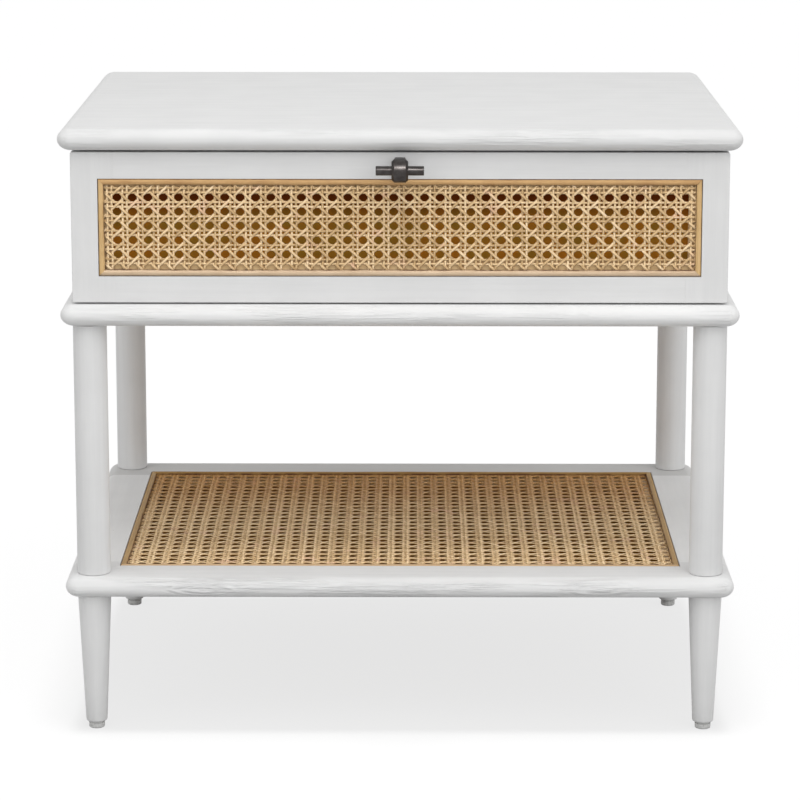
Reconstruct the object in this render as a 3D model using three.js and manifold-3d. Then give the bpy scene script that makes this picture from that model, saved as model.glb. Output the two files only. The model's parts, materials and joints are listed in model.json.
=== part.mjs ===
// A cane-fronted nightstand with one drawer and an open shelf, built as a bench maker would:
// three bullnosed boards, four turned posts, four tapered legs, a drawer on ball-bearing slides,
// and cane webbing pressed under a mitred reed in the drawer front and in the shelf.
// Millimetres, +Z up, the front faces -Y. The floor is z = 0.

import * as THREE from 'three';
import { mergeVertices } from 'three/addons/utils/BufferGeometryUtils.js';
import Module from 'manifold-3d';

const wasm = await Module();
wasm.setup();

// ---- driving dimensions ----

// outline, over the rounded edges of the boards
const width = 600;
const depth = 450;

// heights, from the floor up
const glideHeight = 6.5;
const legLength = 120;
const postLength = 229;
const caseHeight = 137.5;

// the three boards
const boardThickness = 19;
const edgeLand = 0.5;         // flat left at the middle of the half-round edge
const faceCorner = 2.75;      // plan radius of the flat face's corners, inside the rounded edge
const overhang = 11;          // the boards stand out past the case by this much

// case panels
const sideThickness = 16;
const backThickness = 6;
const backRebate = 8;         // how far the back panel laps each side
const topRailHeight = 22;
const topRailDepth = 40;

// turned posts and legs
const postDiameter = 30;
const postEase = 0.8;         // small chamfer where a post meets a board
const tenonDiameter = 14;
const tenonLength = 8;
const legTopDiameter = 30;
const legFootDiameter = 19;
const legFootEase = 1;
const legBoltDiameter = 8;
const legBoltInLeg = 18;
const legBoltInShelf = 8.5;

// nail-on glides
const glideDiameter = 15;
const glideEase = 1.2;
const glideFlange = 1.6;      // thickness of the ring under the leg
const glideNeck = 1;          // the ring is this much smaller in radius than the pad
const nailDiameter = 3;
const nailLength = 12;

// framed cane panels, the same in the drawer front and in the shelf
const ledge = 14;             // the webbing rests on this much wood all round
const webThickness = 1.6;
const reedWidth = 5.5;
const reedShoulder = 2;       // height of the reed's straight side under its crown
const reedDepth = 4;          // the webbing lies this far below the frame's face
const reedProud = 0.75;       // the reed's crown stands this far above the frame's face
const backingThickness = 4;
const backingLap = 8;

// cane webbing
const meshAcross = 13.5;      // spacing of the holes from left to right
const meshAlong = 12.7;       // spacing of the holes up the drawer front, or front to back on the shelf
const holeAcross = 7.3;
const holeAlong = 7;
const pairWidth = 6.2;        // a pair of strands lying side by side
const strandRise = 0.4;       // how far a pair stands out of the woven core

// shelf frame
const shelfRailFace = 45.5;   // painted wood between the board's edge and the reed
const shelfBackingDepth = 11; // from the shelf's top face to the backing board

// drawer front
const frontThickness = 20;
const frontEase = 1.5;
const frontFace = 23.5;         // painted wood between the front's edge and the reed
const frontBackingDepth = 12; // from the front's face to the backing board
const gapAbove = 2;
const gapBelow = 1.5;
const gapBehind = 1.5;        // between the closed front and the case

// drawer box
const boxDepth = 350;
const boxHeight = 95;
const boxWall = 12;
const boxLift = 11.5;         // box above the floor board
const boxBottom = 6;
const boxBottomLift = 10;     // bottom panel above the box's lower edge
const grooveDepth = 6;

// ball-bearing slides, one on each side
const slideLength = 300;
const slideSpace = 12.75;     // between the case side and the drawer box
const slideHeight = 35;
const slideSheet = 1.25;      // steel thickness
const slideRunning = 0.5;     // ball race clearance between members
const slideSetback = 2.5;     // slide's front end behind the case's front edge
const outerReach = 9;         // flange length of the cabinet member
const middleStart = 3;        // the middle member's web behind the cabinet member's back
const middleReach = 7;
const innerReach = 6;

// handle: a short bar through a collar, on a flat-topped stem
const handleStandoff = 24;    // drawer face to the bar's axis
const handleDrop = 1;         // bar's axis below the middle of the top rail
const barDiameter = 8.2;
const barLength = 42;
const barEase = 0.5;
const collarDiameter = 20.5;
const collarWidth = 14.5;
const collarBevel = 2.2;
const stemWidth = 9.6;
const stemHeight = 17;
const stemEase = 1;
const handleBoltDiameter = 4;
const handleBoltInStem = 9;
const boltHeadDiameter = 8;
const boltHeadThickness = 2.5;
const counterboreDepth = 5;
const counterboreDiameter = 11;

// clearance left between pieces that are fixed together
const fit = 0.25;

// facets
const roundSides = 20;
const smallSides = 10;
const edgeSteps = 5;

// ---- levels and planes worked out from the sizes above ----

const shelfBottom = glideHeight + legLength;
const shelfTop = shelfBottom + boardThickness;
const floorBottom = shelfTop + postLength;
const floorTop = floorBottom + boardThickness;
const topBottom = floorTop + caseHeight;

const caseHalfWidth = width / 2 - overhang;
const caseFront = -depth / 2 + overhang;
const caseBack = depth / 2 - overhang;
const sideFront = caseFront + frontThickness + gapBehind;
const caseInnerHalf = caseHalfWidth - sideThickness;

const postInset = (boardThickness + postDiameter) / 2;
const postX = width / 2 - postInset;
const postY = depth / 2 - postInset;
const corners = [
  { name: 'front_left', x: -postX, y: -postY },
  { name: 'front_right', x: postX, y: -postY },
  { name: 'back_left', x: -postX, y: postY },
  { name: 'back_right', x: postX, y: postY },
];
const sides = [{ name: 'left', sign: -1 }, { name: 'right', sign: 1 }];

const ledgeDepth = reedDepth + webThickness + fit;
const frontHeight = caseHeight - gapAbove - gapBelow;
const boxWidth = 2 * (caseInnerHalf - slideSpace);

// ---- finishes ----

const paint = new THREE.MeshStandardMaterial({ color: 0xdddcd9, roughness: 0.5 });
const cane = new THREE.MeshStandardMaterial({ color: 0xd8bf92, roughness: 0.6 });
const reedSkin = new THREE.MeshStandardMaterial({ color: 0xd3ac72, roughness: 0.45 });
const backingBoard = new THREE.MeshStandardMaterial({ color: 0x7a4f1c, roughness: 0.8 });
const drawerPly = new THREE.MeshStandardMaterial({ color: 0xd9c7a4, roughness: 0.6 });
const gunmetal = new THREE.MeshStandardMaterial({ color: 0x4c4947, roughness: 0.35, metalness: 0.9 });
const zincSteel = new THREE.MeshStandardMaterial({ color: 0xb4b6b8, roughness: 0.35, metalness: 0.9 });
const glidePlastic = new THREE.MeshStandardMaterial({ color: 0xc9c9c6, roughness: 0.5 });

// ---- solids ----

const UP = new THREE.Vector3(0, 0, 1);
const RIGHT = new THREE.Vector3(1, 0, 0);
const BACK = new THREE.Vector3(0, 1, 0);
const BEYOND = 5;             // cutting tools run this far past the face they enter

// A closed geometry as a solid that can be cut.
function toSolid(geometry) {
  const bare = geometry.clone();
  bare.deleteAttribute('normal');
  bare.deleteAttribute('uv');
  const merged = mergeVertices(bare);
  return new wasm.Manifold(new wasm.Mesh({
    numProp: 3,
    vertProperties: new Float32Array(merged.attributes.position.array),
    triVerts: new Uint32Array(merged.index.array),
  }));
}

function toGeometry(solid) {
  const mesh = solid.getMesh();
  const geometry = new THREE.BufferGeometry();
  geometry.setAttribute('position', new THREE.BufferAttribute(mesh.vertProperties, 3));
  geometry.setIndex(new THREE.BufferAttribute(mesh.triVerts, 1));
  geometry.computeVertexNormals();
  return geometry;
}

// A block between two corners, each [x, y, z].
function block(low, high) {
  const size = high.map((value, i) => value - low[i]);
  const geometry = new THREE.BoxGeometry(...size);
  geometry.translate(...low.map((value, i) => value + size[i] / 2));
  return geometry;
}

// The radius of a polygon that a circle of this radius just fits inside.
function clearRadius(radius, segments) {
  return radius / Math.cos(Math.PI / segments);
}

// An upright drill of this clear diameter, centred on x and y, from one height to another.
function drill(x, y, from, to, diameter) {
  const radius = clearRadius(diameter / 2, smallSides);
  const geometry = new THREE.CylinderGeometry(radius, radius, to - from, smallSides);
  geometry.rotateX(Math.PI / 2).translate(x, y, (from + to) / 2);
  return toSolid(geometry);
}

function roundedRectangle(w, h, radius) {
  const x = w / 2 - radius;
  const y = h / 2 - radius;
  const shape = new THREE.Shape();
  shape.absarc(x, y, radius, 0, Math.PI / 2);
  shape.absarc(-x, y, radius, Math.PI / 2, Math.PI);
  shape.absarc(-x, -y, radius, Math.PI, 1.5 * Math.PI);
  shape.absarc(x, -y, radius, 1.5 * Math.PI, 2 * Math.PI);
  shape.closePath();
  return shape;
}

function outline(points) {
  return new THREE.Shape(points.map(([x, y]) => new THREE.Vector2(x, y)));
}

// Extrusions of a flat outline. The outline's two axes become X and Z, Y and Z, or X and Y.
function extrudeBack(shape, length, options = {}) {
  const geometry = new THREE.ExtrudeGeometry(shape, { depth: length, bevelEnabled: false, ...options });
  geometry.translate(0, 0, -length);
  return geometry.rotateX(Math.PI / 2);
}

function extrudeRight(shape, length) {
  const geometry = new THREE.ExtrudeGeometry(shape, { depth: length, bevelEnabled: false });
  geometry.translate(0, 0, -length / 2);
  return geometry.applyMatrix4(new THREE.Matrix4().makeBasis(BACK, UP, RIGHT));
}

function extrudeUp(shape, length) {
  return new THREE.ExtrudeGeometry(shape, { depth: length, bevelEnabled: false });
}

// A turned piece: pairs of radius and height, from the bottom up, about the Z axis.
function turned(profile, segments) {
  const points = profile.map(([radius, height]) => new THREE.Vector2(radius, height));
  return new THREE.LatheGeometry(points, segments).rotateX(Math.PI / 2);
}

function piece(group, name, geometry, material, x = 0, y = 0, z = 0) {
  const mesh = new THREE.Mesh(geometry, material);
  mesh.name = name;
  mesh.position.set(x, y, z);
  group.add(mesh);
  return mesh;
}

// ---- boards ----

// A board with a half-round edge all round, its underside at z = 0.
function bullnosedBoard() {
  const radius = (boardThickness - edgeLand) / 2;
  const shape = roundedRectangle(width, depth, faceCorner + radius);
  const geometry = new THREE.ExtrudeGeometry(shape, {
    depth: edgeLand,
    bevelThickness: radius,
    bevelSize: radius,
    bevelOffset: -radius,
    bevelSegments: edgeSteps,
    curveSegments: 2,
  });
  return geometry.translate(0, 0, radius);
}

function makeFloorBoard() {
  let solid = toSolid(bullnosedBoard());
  for (const { x, y } of corners) {
    solid = solid.subtract(drill(x, y, -BEYOND, tenonLength + fit, tenonDiameter + 2 * fit));
  }
  return toGeometry(solid);
}

// ---- framed cane panels ----

// Cuts the front rebate, the window and the rear rebate of a cane panel. The frame's face is
// turned up, at height face, and halfX and halfY are half the opening that shows.
function cutCaneFrame(solid, face, thickness, halfX, halfY, backingDepth) {
  const window = ledge;
  const lap = ledge - backingLap;
  const cuts = [
    block([-halfX, -halfY, face - ledgeDepth], [halfX, halfY, face + BEYOND]),
    block([window - halfX, window - halfY, face - thickness - BEYOND],
      [halfX - window, halfY - window, face + BEYOND]),
    block([lap - halfX, lap - halfY, face - thickness - BEYOND],
      [halfX - lap, halfY - lap, face - backingDepth]),
  ];
  return cuts.reduce((rest, cut) => rest.subtract(toSolid(cut)), solid);
}

function backingPanel(halfX, halfY) {
  const x = halfX - ledge + backingLap - fit;
  const y = halfY - ledge + backingLap - fit;
  return block([-x, -y, -backingThickness], [x, y, 0]);
}

// Pierced webbing: octagonal holes between the crossing pairs and diagonals, face at z = 0.
function piercedWebbing(halfX, halfY) {
  const sheet = roundedRectangle(2 * (halfX - fit), 2 * (halfY - fit), fit);
  const columns = Math.ceil(2 * (halfX - ledge) / meshAcross);
  const rows = Math.ceil(2 * (halfY - ledge) / meshAlong);
  const stretch = 1 / Math.cos(Math.PI / 8);
  for (let row = 0; row < rows; row += 1) {
    for (let column = 0; column < columns; column += 1) {
      const x = (column - (columns - 1) / 2) * meshAcross;
      const y = (row - (rows - 1) / 2) * meshAlong;
      const hole = new THREE.Path();
      for (let side = 0; side < 8; side += 1) {
        const angle = (side + 0.5) * Math.PI / 4;
        const px = x + holeAcross / 2 * stretch * Math.cos(angle);
        const py = y + holeAlong / 2 * stretch * Math.sin(angle);
        if (side === 0) hole.moveTo(px, py);
        else hole.lineTo(px, py);
      }
      hole.closePath();
      sheet.holes.push(hole);
    }
  }
  const geometry = new THREE.ExtrudeGeometry(sheet, {
    depth: webThickness,
    bevelEnabled: false,
    curveSegments: 1,
  });
  return geometry.translate(0, 0, -webThickness);
}

// Outline of a sheet with one raised band for each pair of strands, symmetric about 0.
function bandedOutline(half, spacing, low, high) {
  const count = Math.floor((2 * half - pairWidth) / spacing);
  const points = [[-half, low]];
  for (let band = 0; band <= count; band += 1) {
    const centre = (band - count / 2) * spacing;
    const left = centre - pairWidth / 2;
    const right = centre + pairWidth / 2;
    points.push([left - strandRise, low], [left, high], [right, high], [right + strandRise, low]);
  }
  points.push([half, low], [half, 0], [-half, 0]);
  return outline(points);
}

// Close webbing: pairs of strands run front to back on top and left to right beneath.
function bandedWebbing(halfX, halfY) {
  const x = halfX - fit;
  const y = halfY - fit;
  const core = webThickness / 2 - strandRise;
  const above = extrudeBack(bandedOutline(x, meshAcross, core, core + strandRise), 2 * y);
  above.translate(0, -y, 0);
  const below = extrudeRight(bandedOutline(y, meshAlong, -core, -core - strandRise), 2 * x);
  const joined = toSolid(above).add(toSolid(below));
  return toGeometry(joined).translate(0, 0, -webThickness / 2);
}

// One length of reed with mitred ends, laid against one side of the opening. Its section is a
// flat-bottomed half round; u runs into the opening and each end shortens by the same amount.
function reedStrip(length) {
  const height = reedDepth + reedProud - fit;
  const section = new THREE.Shape();
  section.moveTo(0, 0);
  section.lineTo(reedWidth, 0);
  section.absellipse(reedWidth / 2, reedShoulder, reedWidth / 2, height - reedShoulder, 0, Math.PI);
  section.closePath();
  const geometry = new THREE.ExtrudeGeometry(section, {
    depth: 1,
    bevelEnabled: false,
    curveSegments: 3,
  });
  const position = geometry.attributes.position;
  for (let i = 0; i < position.count; i += 1) {
    const half = length / 2 - 2 * fit - position.getX(i);
    position.setZ(i, (2 * position.getZ(i) - 1) * half);
  }
  geometry.computeVertexNormals();
  return geometry;
}

// Webbing, backing and the four lengths of reed, in a group whose XY plane is the frame's face.
function caneInfill(prefix, webbing, halfX, halfY, backingDepth, sideNames) {
  const group = new THREE.Group();
  piece(group, `${prefix}_webbing`, webbing, cane, 0, 0, -reedDepth);
  piece(group, `${prefix}_backing`, backingPanel(halfX, halfY), backingBoard, 0, 0,
    -backingDepth - fit);
  const runs = [
    { inward: new THREE.Vector3(0, 1, 0), reach: halfY, length: 2 * halfX },
    { inward: new THREE.Vector3(0, -1, 0), reach: halfY, length: 2 * halfX },
    { inward: new THREE.Vector3(1, 0, 0), reach: halfX, length: 2 * halfY },
    { inward: new THREE.Vector3(-1, 0, 0), reach: halfX, length: 2 * halfY },
  ];
  runs.forEach(({ inward, reach, length }, i) => {
    const strip = piece(group, `${prefix}_reed_${sideNames[i]}`, reedStrip(length), reedSkin);
    const along = new THREE.Vector3().crossVectors(inward, UP);
    strip.quaternion.setFromRotationMatrix(new THREE.Matrix4().makeBasis(inward, UP, along));
    strip.position.copy(inward).multiplyScalar(fit - reach);
    strip.position.z = fit - reedDepth;
  });
  return group;
}

// ---- shelf ----

function makeShelf() {
  const shelf = new THREE.Group();
  shelf.position.z = shelfBottom;
  const halfX = width / 2 - shelfRailFace;
  const halfY = depth / 2 - shelfRailFace;
  let frame = cutCaneFrame(toSolid(bullnosedBoard()), boardThickness, boardThickness,
    halfX, halfY, shelfBackingDepth);
  for (const { x, y } of corners) {
    const socket = drill(x, y, boardThickness - tenonLength - fit,
      boardThickness + BEYOND, tenonDiameter + 2 * fit);
    const boltHole = drill(x, y, -BEYOND, legBoltInShelf + fit, legBoltDiameter + 2 * fit);
    frame = frame.subtract(socket).subtract(boltHole);
  }
  const joint = halfY - ledge;
  const far = width;
  const members = {
    shelf_rail_front: block([-far, -far, -BEYOND], [far, -joint, boardThickness + BEYOND]),
    shelf_rail_back: block([-far, joint, -BEYOND], [far, far, boardThickness + BEYOND]),
    shelf_stile_left: block([-far, fit - joint, -BEYOND], [0, joint - fit, boardThickness + BEYOND]),
    shelf_stile_right: block([0, fit - joint, -BEYOND], [far, joint - fit, boardThickness + BEYOND]),
  };
  for (const [name, region] of Object.entries(members)) {
    piece(shelf, name, toGeometry(frame.intersect(toSolid(region))), paint);
  }
  const infill = caneInfill('shelf', bandedWebbing(halfX, halfY), halfX, halfY, shelfBackingDepth,
    ['front', 'back', 'left', 'right']);
  infill.position.z = boardThickness;
  shelf.add(infill);
  return shelf;
}

// ---- posts, legs and glides ----

function makePost() {
  const radius = postDiameter / 2;
  const tenon = tenonDiameter / 2;
  const top = postLength - fit;
  return turned([
    [0, fit - tenonLength],
    [tenon, fit - tenonLength],
    [tenon, fit],
    [radius - postEase, fit],
    [radius, fit + postEase],
    [radius, top - postEase],
    [radius - postEase, top],
    [tenon, top],
    [tenon, top + tenonLength - fit],
    [0, top + tenonLength - fit],
  ], roundSides);
}

function makeLeg() {
  const top = legLength - fit;
  const foot = legFootDiameter / 2;
  const nailHole = nailDiameter / 2 + fit;
  const boltHole = legBoltDiameter / 2 + fit;
  return turned([
    [0, nailLength + fit],
    [nailHole, nailLength + fit],
    [nailHole, 0],
    [foot - legFootEase, 0],
    [foot, legFootEase],
    [legTopDiameter / 2, top],
    [boltHole, top],
    [boltHole, top - legBoltInLeg - fit],
    [0, top - legBoltInLeg - fit],
  ], roundSides);
}

function makeLegBolt() {
  const radius = legBoltDiameter / 2;
  return turned([
    [0, -legBoltInLeg],
    [radius, -legBoltInLeg],
    [radius, legBoltInShelf],
    [0, legBoltInShelf],
  ], smallSides);
}

function makeGlide() {
  const radius = glideDiameter / 2;
  const top = glideHeight - fit;
  return turned([
    [0, 0],
    [radius - glideEase, 0],
    [radius, glideEase],
    [radius, top - glideFlange],
    [radius - glideNeck, top - glideFlange],
    [radius - glideNeck, top],
    [nailDiameter / 2, top],
    [nailDiameter / 2, top + nailLength],
    [0, top + nailLength],
  ], smallSides);
}

function makeSupports() {
  const supports = new THREE.Group();
  for (const { name, x, y } of corners) {
    piece(supports, `post_${name}`, makePost(), paint, x, y, shelfTop);
    piece(supports, `leg_${name}`, makeLeg(), paint, x, y, glideHeight);
    piece(supports, `leg_bolt_${name}`, makeLegBolt(), zincSteel, x, y, shelfBottom);
    piece(supports, `glide_${name}`, makeGlide(), glidePlastic, x, y, 0);
  }
  return supports;
}

// ---- case ----

function makeCaseSide(sign) {
  const outer = caseHalfWidth;
  const inner = caseInnerHalf;
  const rebate = inner + backRebate;
  const shape = outline([
    [sign * outer, sideFront],
    [sign * outer, caseBack],
    [sign * rebate, caseBack],
    [sign * rebate, caseBack - backThickness - fit],
    [sign * inner, caseBack - backThickness - fit],
    [sign * inner, sideFront],
  ]);
  return extrudeUp(shape, caseHeight - 2 * fit);
}

function makeCase() {
  const carcass = new THREE.Group();
  piece(carcass, 'floor_board', makeFloorBoard(), paint, 0, 0, floorBottom);
  piece(carcass, 'top_board', bullnosedBoard(), paint, 0, 0, topBottom);
  for (const { name, sign } of sides) {
    piece(carcass, `case_side_${name}`, makeCaseSide(sign), paint, 0, 0, floorTop + fit);
  }
  const backHalf = caseInnerHalf + backRebate - fit;
  piece(carcass, 'case_back_panel', block(
    [-backHalf, caseBack - backThickness, floorTop + fit],
    [backHalf, caseBack, topBottom - fit]), paint);
  const railHalf = caseInnerHalf - fit;
  const railBottom = topBottom - topRailHeight;
  const rearOfRails = caseBack - backThickness - fit;
  piece(carcass, 'top_rail_front', block(
    [-railHalf, sideFront, railBottom],
    [railHalf, sideFront + topRailDepth, topBottom - fit]), drawerPly);
  piece(carcass, 'top_rail_back', block(
    [-railHalf, rearOfRails - topRailDepth, railBottom],
    [railHalf, rearOfRails, topBottom - fit]), drawerPly);
  return carcass;
}

// ---- slides ----

// A channel whose back lies at offset start from the case side, with flanges reaching by reach.
// A negative reach turns the channel's open side towards the case.
function channel(sign, start, reach, height) {
  const direction = Math.sign(reach);
  const at = (offset) => sign * (caseInnerHalf - fit - offset);
  const half = height / 2;
  return extrudeBack(outline([
    [at(start), -half],
    [at(start + reach), -half],
    [at(start + reach), slideSheet - half],
    [at(start + direction * slideSheet), slideSheet - half],
    [at(start + direction * slideSheet), half - slideSheet],
    [at(start + reach), half - slideSheet],
    [at(start + reach), half],
    [at(start), half],
  ]), slideLength);
}

const nesting = 2 * (slideSheet + slideRunning);
const slideFront = sideFront + slideSetback;
const slideLevel = floorTop + boxLift + boxHeight / 2;

function makeSlideMembers() {
  const slides = new THREE.Group();
  slides.position.set(0, slideFront, slideLevel);
  for (const { name, sign } of sides) {
    piece(slides, `slide_cabinet_member_${name}`,
      channel(sign, 0, outerReach, slideHeight), zincSteel);
    piece(slides, `slide_middle_member_${name}`,
      channel(sign, middleStart, middleReach, slideHeight - nesting), zincSteel);
    piece(slides, `slide_drawer_member_${name}`,
      channel(sign, slideSpace - 2 * fit, -innerReach, slideHeight - 2 * nesting), zincSteel);
  }
  return slides;
}

// ---- drawer front ----

function makeDrawerFront() {
  const front = new THREE.Group();
  front.position.set(0, caseFront, floorTop + gapBelow + frontHeight / 2);
  front.rotation.x = Math.PI / 2;
  const halfX = caseHalfWidth - frontFace;
  const halfY = frontHeight / 2 - frontFace;
  const blank = new THREE.ExtrudeGeometry(
    roundedRectangle(2 * caseHalfWidth, frontHeight, 2 * frontEase), {
      depth: frontThickness - 2 * frontEase,
      bevelThickness: frontEase,
      bevelSize: frontEase,
      bevelOffset: -frontEase,
      bevelSegments: 2,
      curveSegments: 1,
    });
  blank.translate(0, 0, frontEase - frontThickness);
  let frame = cutCaneFrame(toSolid(blank), 0, frontThickness, halfX, halfY, frontBackingDepth);
  const behind = -frontThickness - BEYOND;
  frame = frame
    .subtract(drill(0, handleLevel, behind, BEYOND, handleBoltDiameter + 2 * fit))
    .subtract(drill(0, handleLevel, behind, counterboreDepth - frontThickness, counterboreDiameter));
  const joint = halfX - ledge;
  const far = width;
  const members = {
    drawer_front_rail_top: block([fit - joint, 0, -far], [joint - fit, far, far]),
    drawer_front_rail_bottom: block([fit - joint, -far, -far], [joint - fit, 0, far]),
    drawer_front_stile_left: block([-far, -far, -far], [-joint, far, far]),
    drawer_front_stile_right: block([joint, -far, -far], [far, far, far]),
  };
  for (const [name, region] of Object.entries(members)) {
    piece(front, name, toGeometry(frame.intersect(toSolid(region))), paint);
  }
  front.add(caneInfill('drawer', piercedWebbing(halfX, halfY), halfX, halfY, frontBackingDepth,
    ['bottom', 'top', 'left', 'right']));
  front.add(makeHandle());
  return front;
}

// ---- handle ----

const handleLevel = (frontHeight - frontFace) / 2 - handleDrop;

// The stem's front end is hollowed to the collar's curve, and its back is drilled for the bolt.
// It is modelled with the drawer's face turned up, at z = 0.
function makeStem() {
  const x = stemWidth / 2;
  const y = stemHeight / 2;
  const section = outline([
    [x - stemEase, -y], [x, stemEase - y], [x, y - stemEase], [x - stemEase, y],
    [stemEase - x, y], [-x, y - stemEase], [-x, stemEase - y], [stemEase - x, -y],
  ]);
  const bar = toSolid(extrudeUp(section, handleStandoff).translate(0, 0, fit));
  const saddleRadius = clearRadius(collarDiameter / 2 + fit, roundSides);
  const saddle = new THREE.CylinderGeometry(saddleRadius, saddleRadius, collarWidth, roundSides);
  saddle.rotateZ(Math.PI / 2).translate(0, 0, handleStandoff);
  const shorten = block([-width, -width, handleStandoff], [width, width, width]);
  const boltHole = drill(0, 0, -BEYOND, handleBoltInStem + fit, handleBoltDiameter + 2 * fit);
  return toGeometry(bar.subtract(toSolid(saddle)).subtract(toSolid(shorten)).subtract(boltHole));
}

function makeHandle() {
  const handle = new THREE.Group();
  handle.position.y = handleLevel;
  piece(handle, 'handle_stem', makeStem(), gunmetal);

  const half = collarWidth / 2;
  const outer = collarDiameter / 2;
  const bore = barDiameter / 2 + fit;
  const collar = turned([
    [bore, -half],
    [outer - collarBevel, -half],
    [outer, collarBevel - half],
    [outer, half - collarBevel],
    [outer - collarBevel, half],
    [bore, half],
    [bore, -half],
  ], roundSides);
  piece(handle, 'handle_collar', collar.rotateY(Math.PI / 2), gunmetal, 0, 0, handleStandoff);

  const reach = barLength / 2;
  const radius = barDiameter / 2;
  const bar = turned([
    [0, -reach],
    [radius - barEase, -reach],
    [radius, barEase - reach],
    [radius, reach - barEase],
    [radius - barEase, reach],
    [0, reach],
  ], roundSides);
  piece(handle, 'handle_bar', bar.rotateY(Math.PI / 2), gunmetal, 0, 0, handleStandoff);

  const seat = counterboreDepth - frontThickness - fit;
  const shank = handleBoltDiameter / 2;
  const bolt = turned([
    [0, seat - boltHeadThickness],
    [boltHeadDiameter / 2, seat - boltHeadThickness],
    [boltHeadDiameter / 2, seat],
    [shank, seat],
    [shank, handleBoltInStem],
    [0, handleBoltInStem],
  ], smallSides);
  piece(handle, 'handle_bolt', bolt, zincSteel);
  return handle;
}

// ---- drawer box ----

// Upright wall section with a groove for the bottom panel on its +x side.
function groovedSection() {
  const grooveTop = boxBottomLift + boxBottom + 2 * fit;
  return [
    [0, 0],
    [boxWall, 0],
    [boxWall, boxBottomLift],
    [boxWall - grooveDepth, boxBottomLift],
    [boxWall - grooveDepth, grooveTop],
    [boxWall, grooveTop],
    [boxWall, boxHeight],
    [0, boxHeight],
  ];
}

function makeDrawerBox() {
  const box = new THREE.Group();
  box.position.set(0, caseFront + frontThickness + fit, floorTop + boxLift);
  const half = boxWidth / 2;
  for (const { name, sign } of sides) {
    const section = groovedSection().map(([x, z]) => [sign * (half - x), z]);
    piece(box, `drawer_side_${name}`, extrudeBack(outline(section), boxDepth), drawerPly);
  }
  const between = half - boxWall - fit;
  piece(box, 'drawer_inner_front', extrudeRight(outline(groovedSection()), 2 * between), drawerPly);
  const bottomTop = boxBottomLift + fit + boxBottom;
  piece(box, 'drawer_back', block(
    [-between, boxDepth - boxWall, bottomTop + fit],
    [between, boxDepth, boxHeight]), drawerPly);
  const bottomHalf = half - boxWall + grooveDepth - fit;
  piece(box, 'drawer_bottom', block(
    [-bottomHalf, boxWall - grooveDepth + fit, boxBottomLift + fit],
    [bottomHalf, boxDepth, bottomTop]), drawerPly);
  return box;
}

// ---- assembly ----

const nightstand = new THREE.Group();
nightstand.add(makeSupports(), makeShelf(), makeCase(), makeSlideMembers());
nightstand.add(makeDrawerFront(), makeDrawerBox());

// The handle stands out in front of the boards, and the origin is the middle of the whole outline.
nightstand.position.y = (handleStandoff + collarDiameter / 2 - overhang) / 2;

export default nightstand;
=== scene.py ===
"""A white nightstand with a cane-fronted drawer and a cane shelf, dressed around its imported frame.

Each sub-assembly is a class that takes its place from the frame, models the pieces that want a finer
surface than the solids have, and gives every other piece its finish. Lengths are metres, Z is up, and
the front of the nightstand faces -Y.
"""

from __future__ import annotations

import json
import logging
import math
from collections.abc import Callable, Iterable, Sequence
from dataclasses import dataclass, field
from enum import Enum
from typing import Any

import bpy
import numpy as np
from mathutils import Matrix, Vector

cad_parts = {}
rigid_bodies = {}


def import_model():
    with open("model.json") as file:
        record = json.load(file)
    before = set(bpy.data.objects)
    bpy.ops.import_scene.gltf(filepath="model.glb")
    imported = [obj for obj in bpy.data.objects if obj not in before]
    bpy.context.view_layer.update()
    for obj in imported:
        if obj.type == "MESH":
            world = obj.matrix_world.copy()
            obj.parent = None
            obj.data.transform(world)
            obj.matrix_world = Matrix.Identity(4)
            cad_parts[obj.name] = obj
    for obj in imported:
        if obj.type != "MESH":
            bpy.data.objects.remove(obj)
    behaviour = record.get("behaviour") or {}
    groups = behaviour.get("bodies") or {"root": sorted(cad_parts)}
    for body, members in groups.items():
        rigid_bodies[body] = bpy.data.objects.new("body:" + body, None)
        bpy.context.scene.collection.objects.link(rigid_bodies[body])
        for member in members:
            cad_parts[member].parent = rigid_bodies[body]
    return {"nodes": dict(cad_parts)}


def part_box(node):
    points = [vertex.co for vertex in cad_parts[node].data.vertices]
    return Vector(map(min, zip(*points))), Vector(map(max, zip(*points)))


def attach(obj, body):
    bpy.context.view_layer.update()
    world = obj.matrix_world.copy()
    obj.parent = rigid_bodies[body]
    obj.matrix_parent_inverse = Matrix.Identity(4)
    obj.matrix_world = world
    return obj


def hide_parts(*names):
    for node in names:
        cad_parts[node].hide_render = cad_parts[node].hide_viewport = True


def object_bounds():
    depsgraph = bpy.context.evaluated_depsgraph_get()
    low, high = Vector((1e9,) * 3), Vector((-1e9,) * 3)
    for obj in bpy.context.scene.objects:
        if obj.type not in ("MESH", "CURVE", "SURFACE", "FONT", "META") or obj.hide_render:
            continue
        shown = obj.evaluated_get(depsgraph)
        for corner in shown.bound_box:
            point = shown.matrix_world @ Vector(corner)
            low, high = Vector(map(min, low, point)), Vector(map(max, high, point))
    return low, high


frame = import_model()
solid_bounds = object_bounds()

MM = 0.001
OVERCUT = 5 * MM
SMOOTH_ANGLE = math.radians(32)
Colour = tuple[float, float, float]
Repeats = tuple[float, float]
Ring = np.ndarray

log = logging.getLogger("nightstand")


# ---- node trees ----


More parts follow.
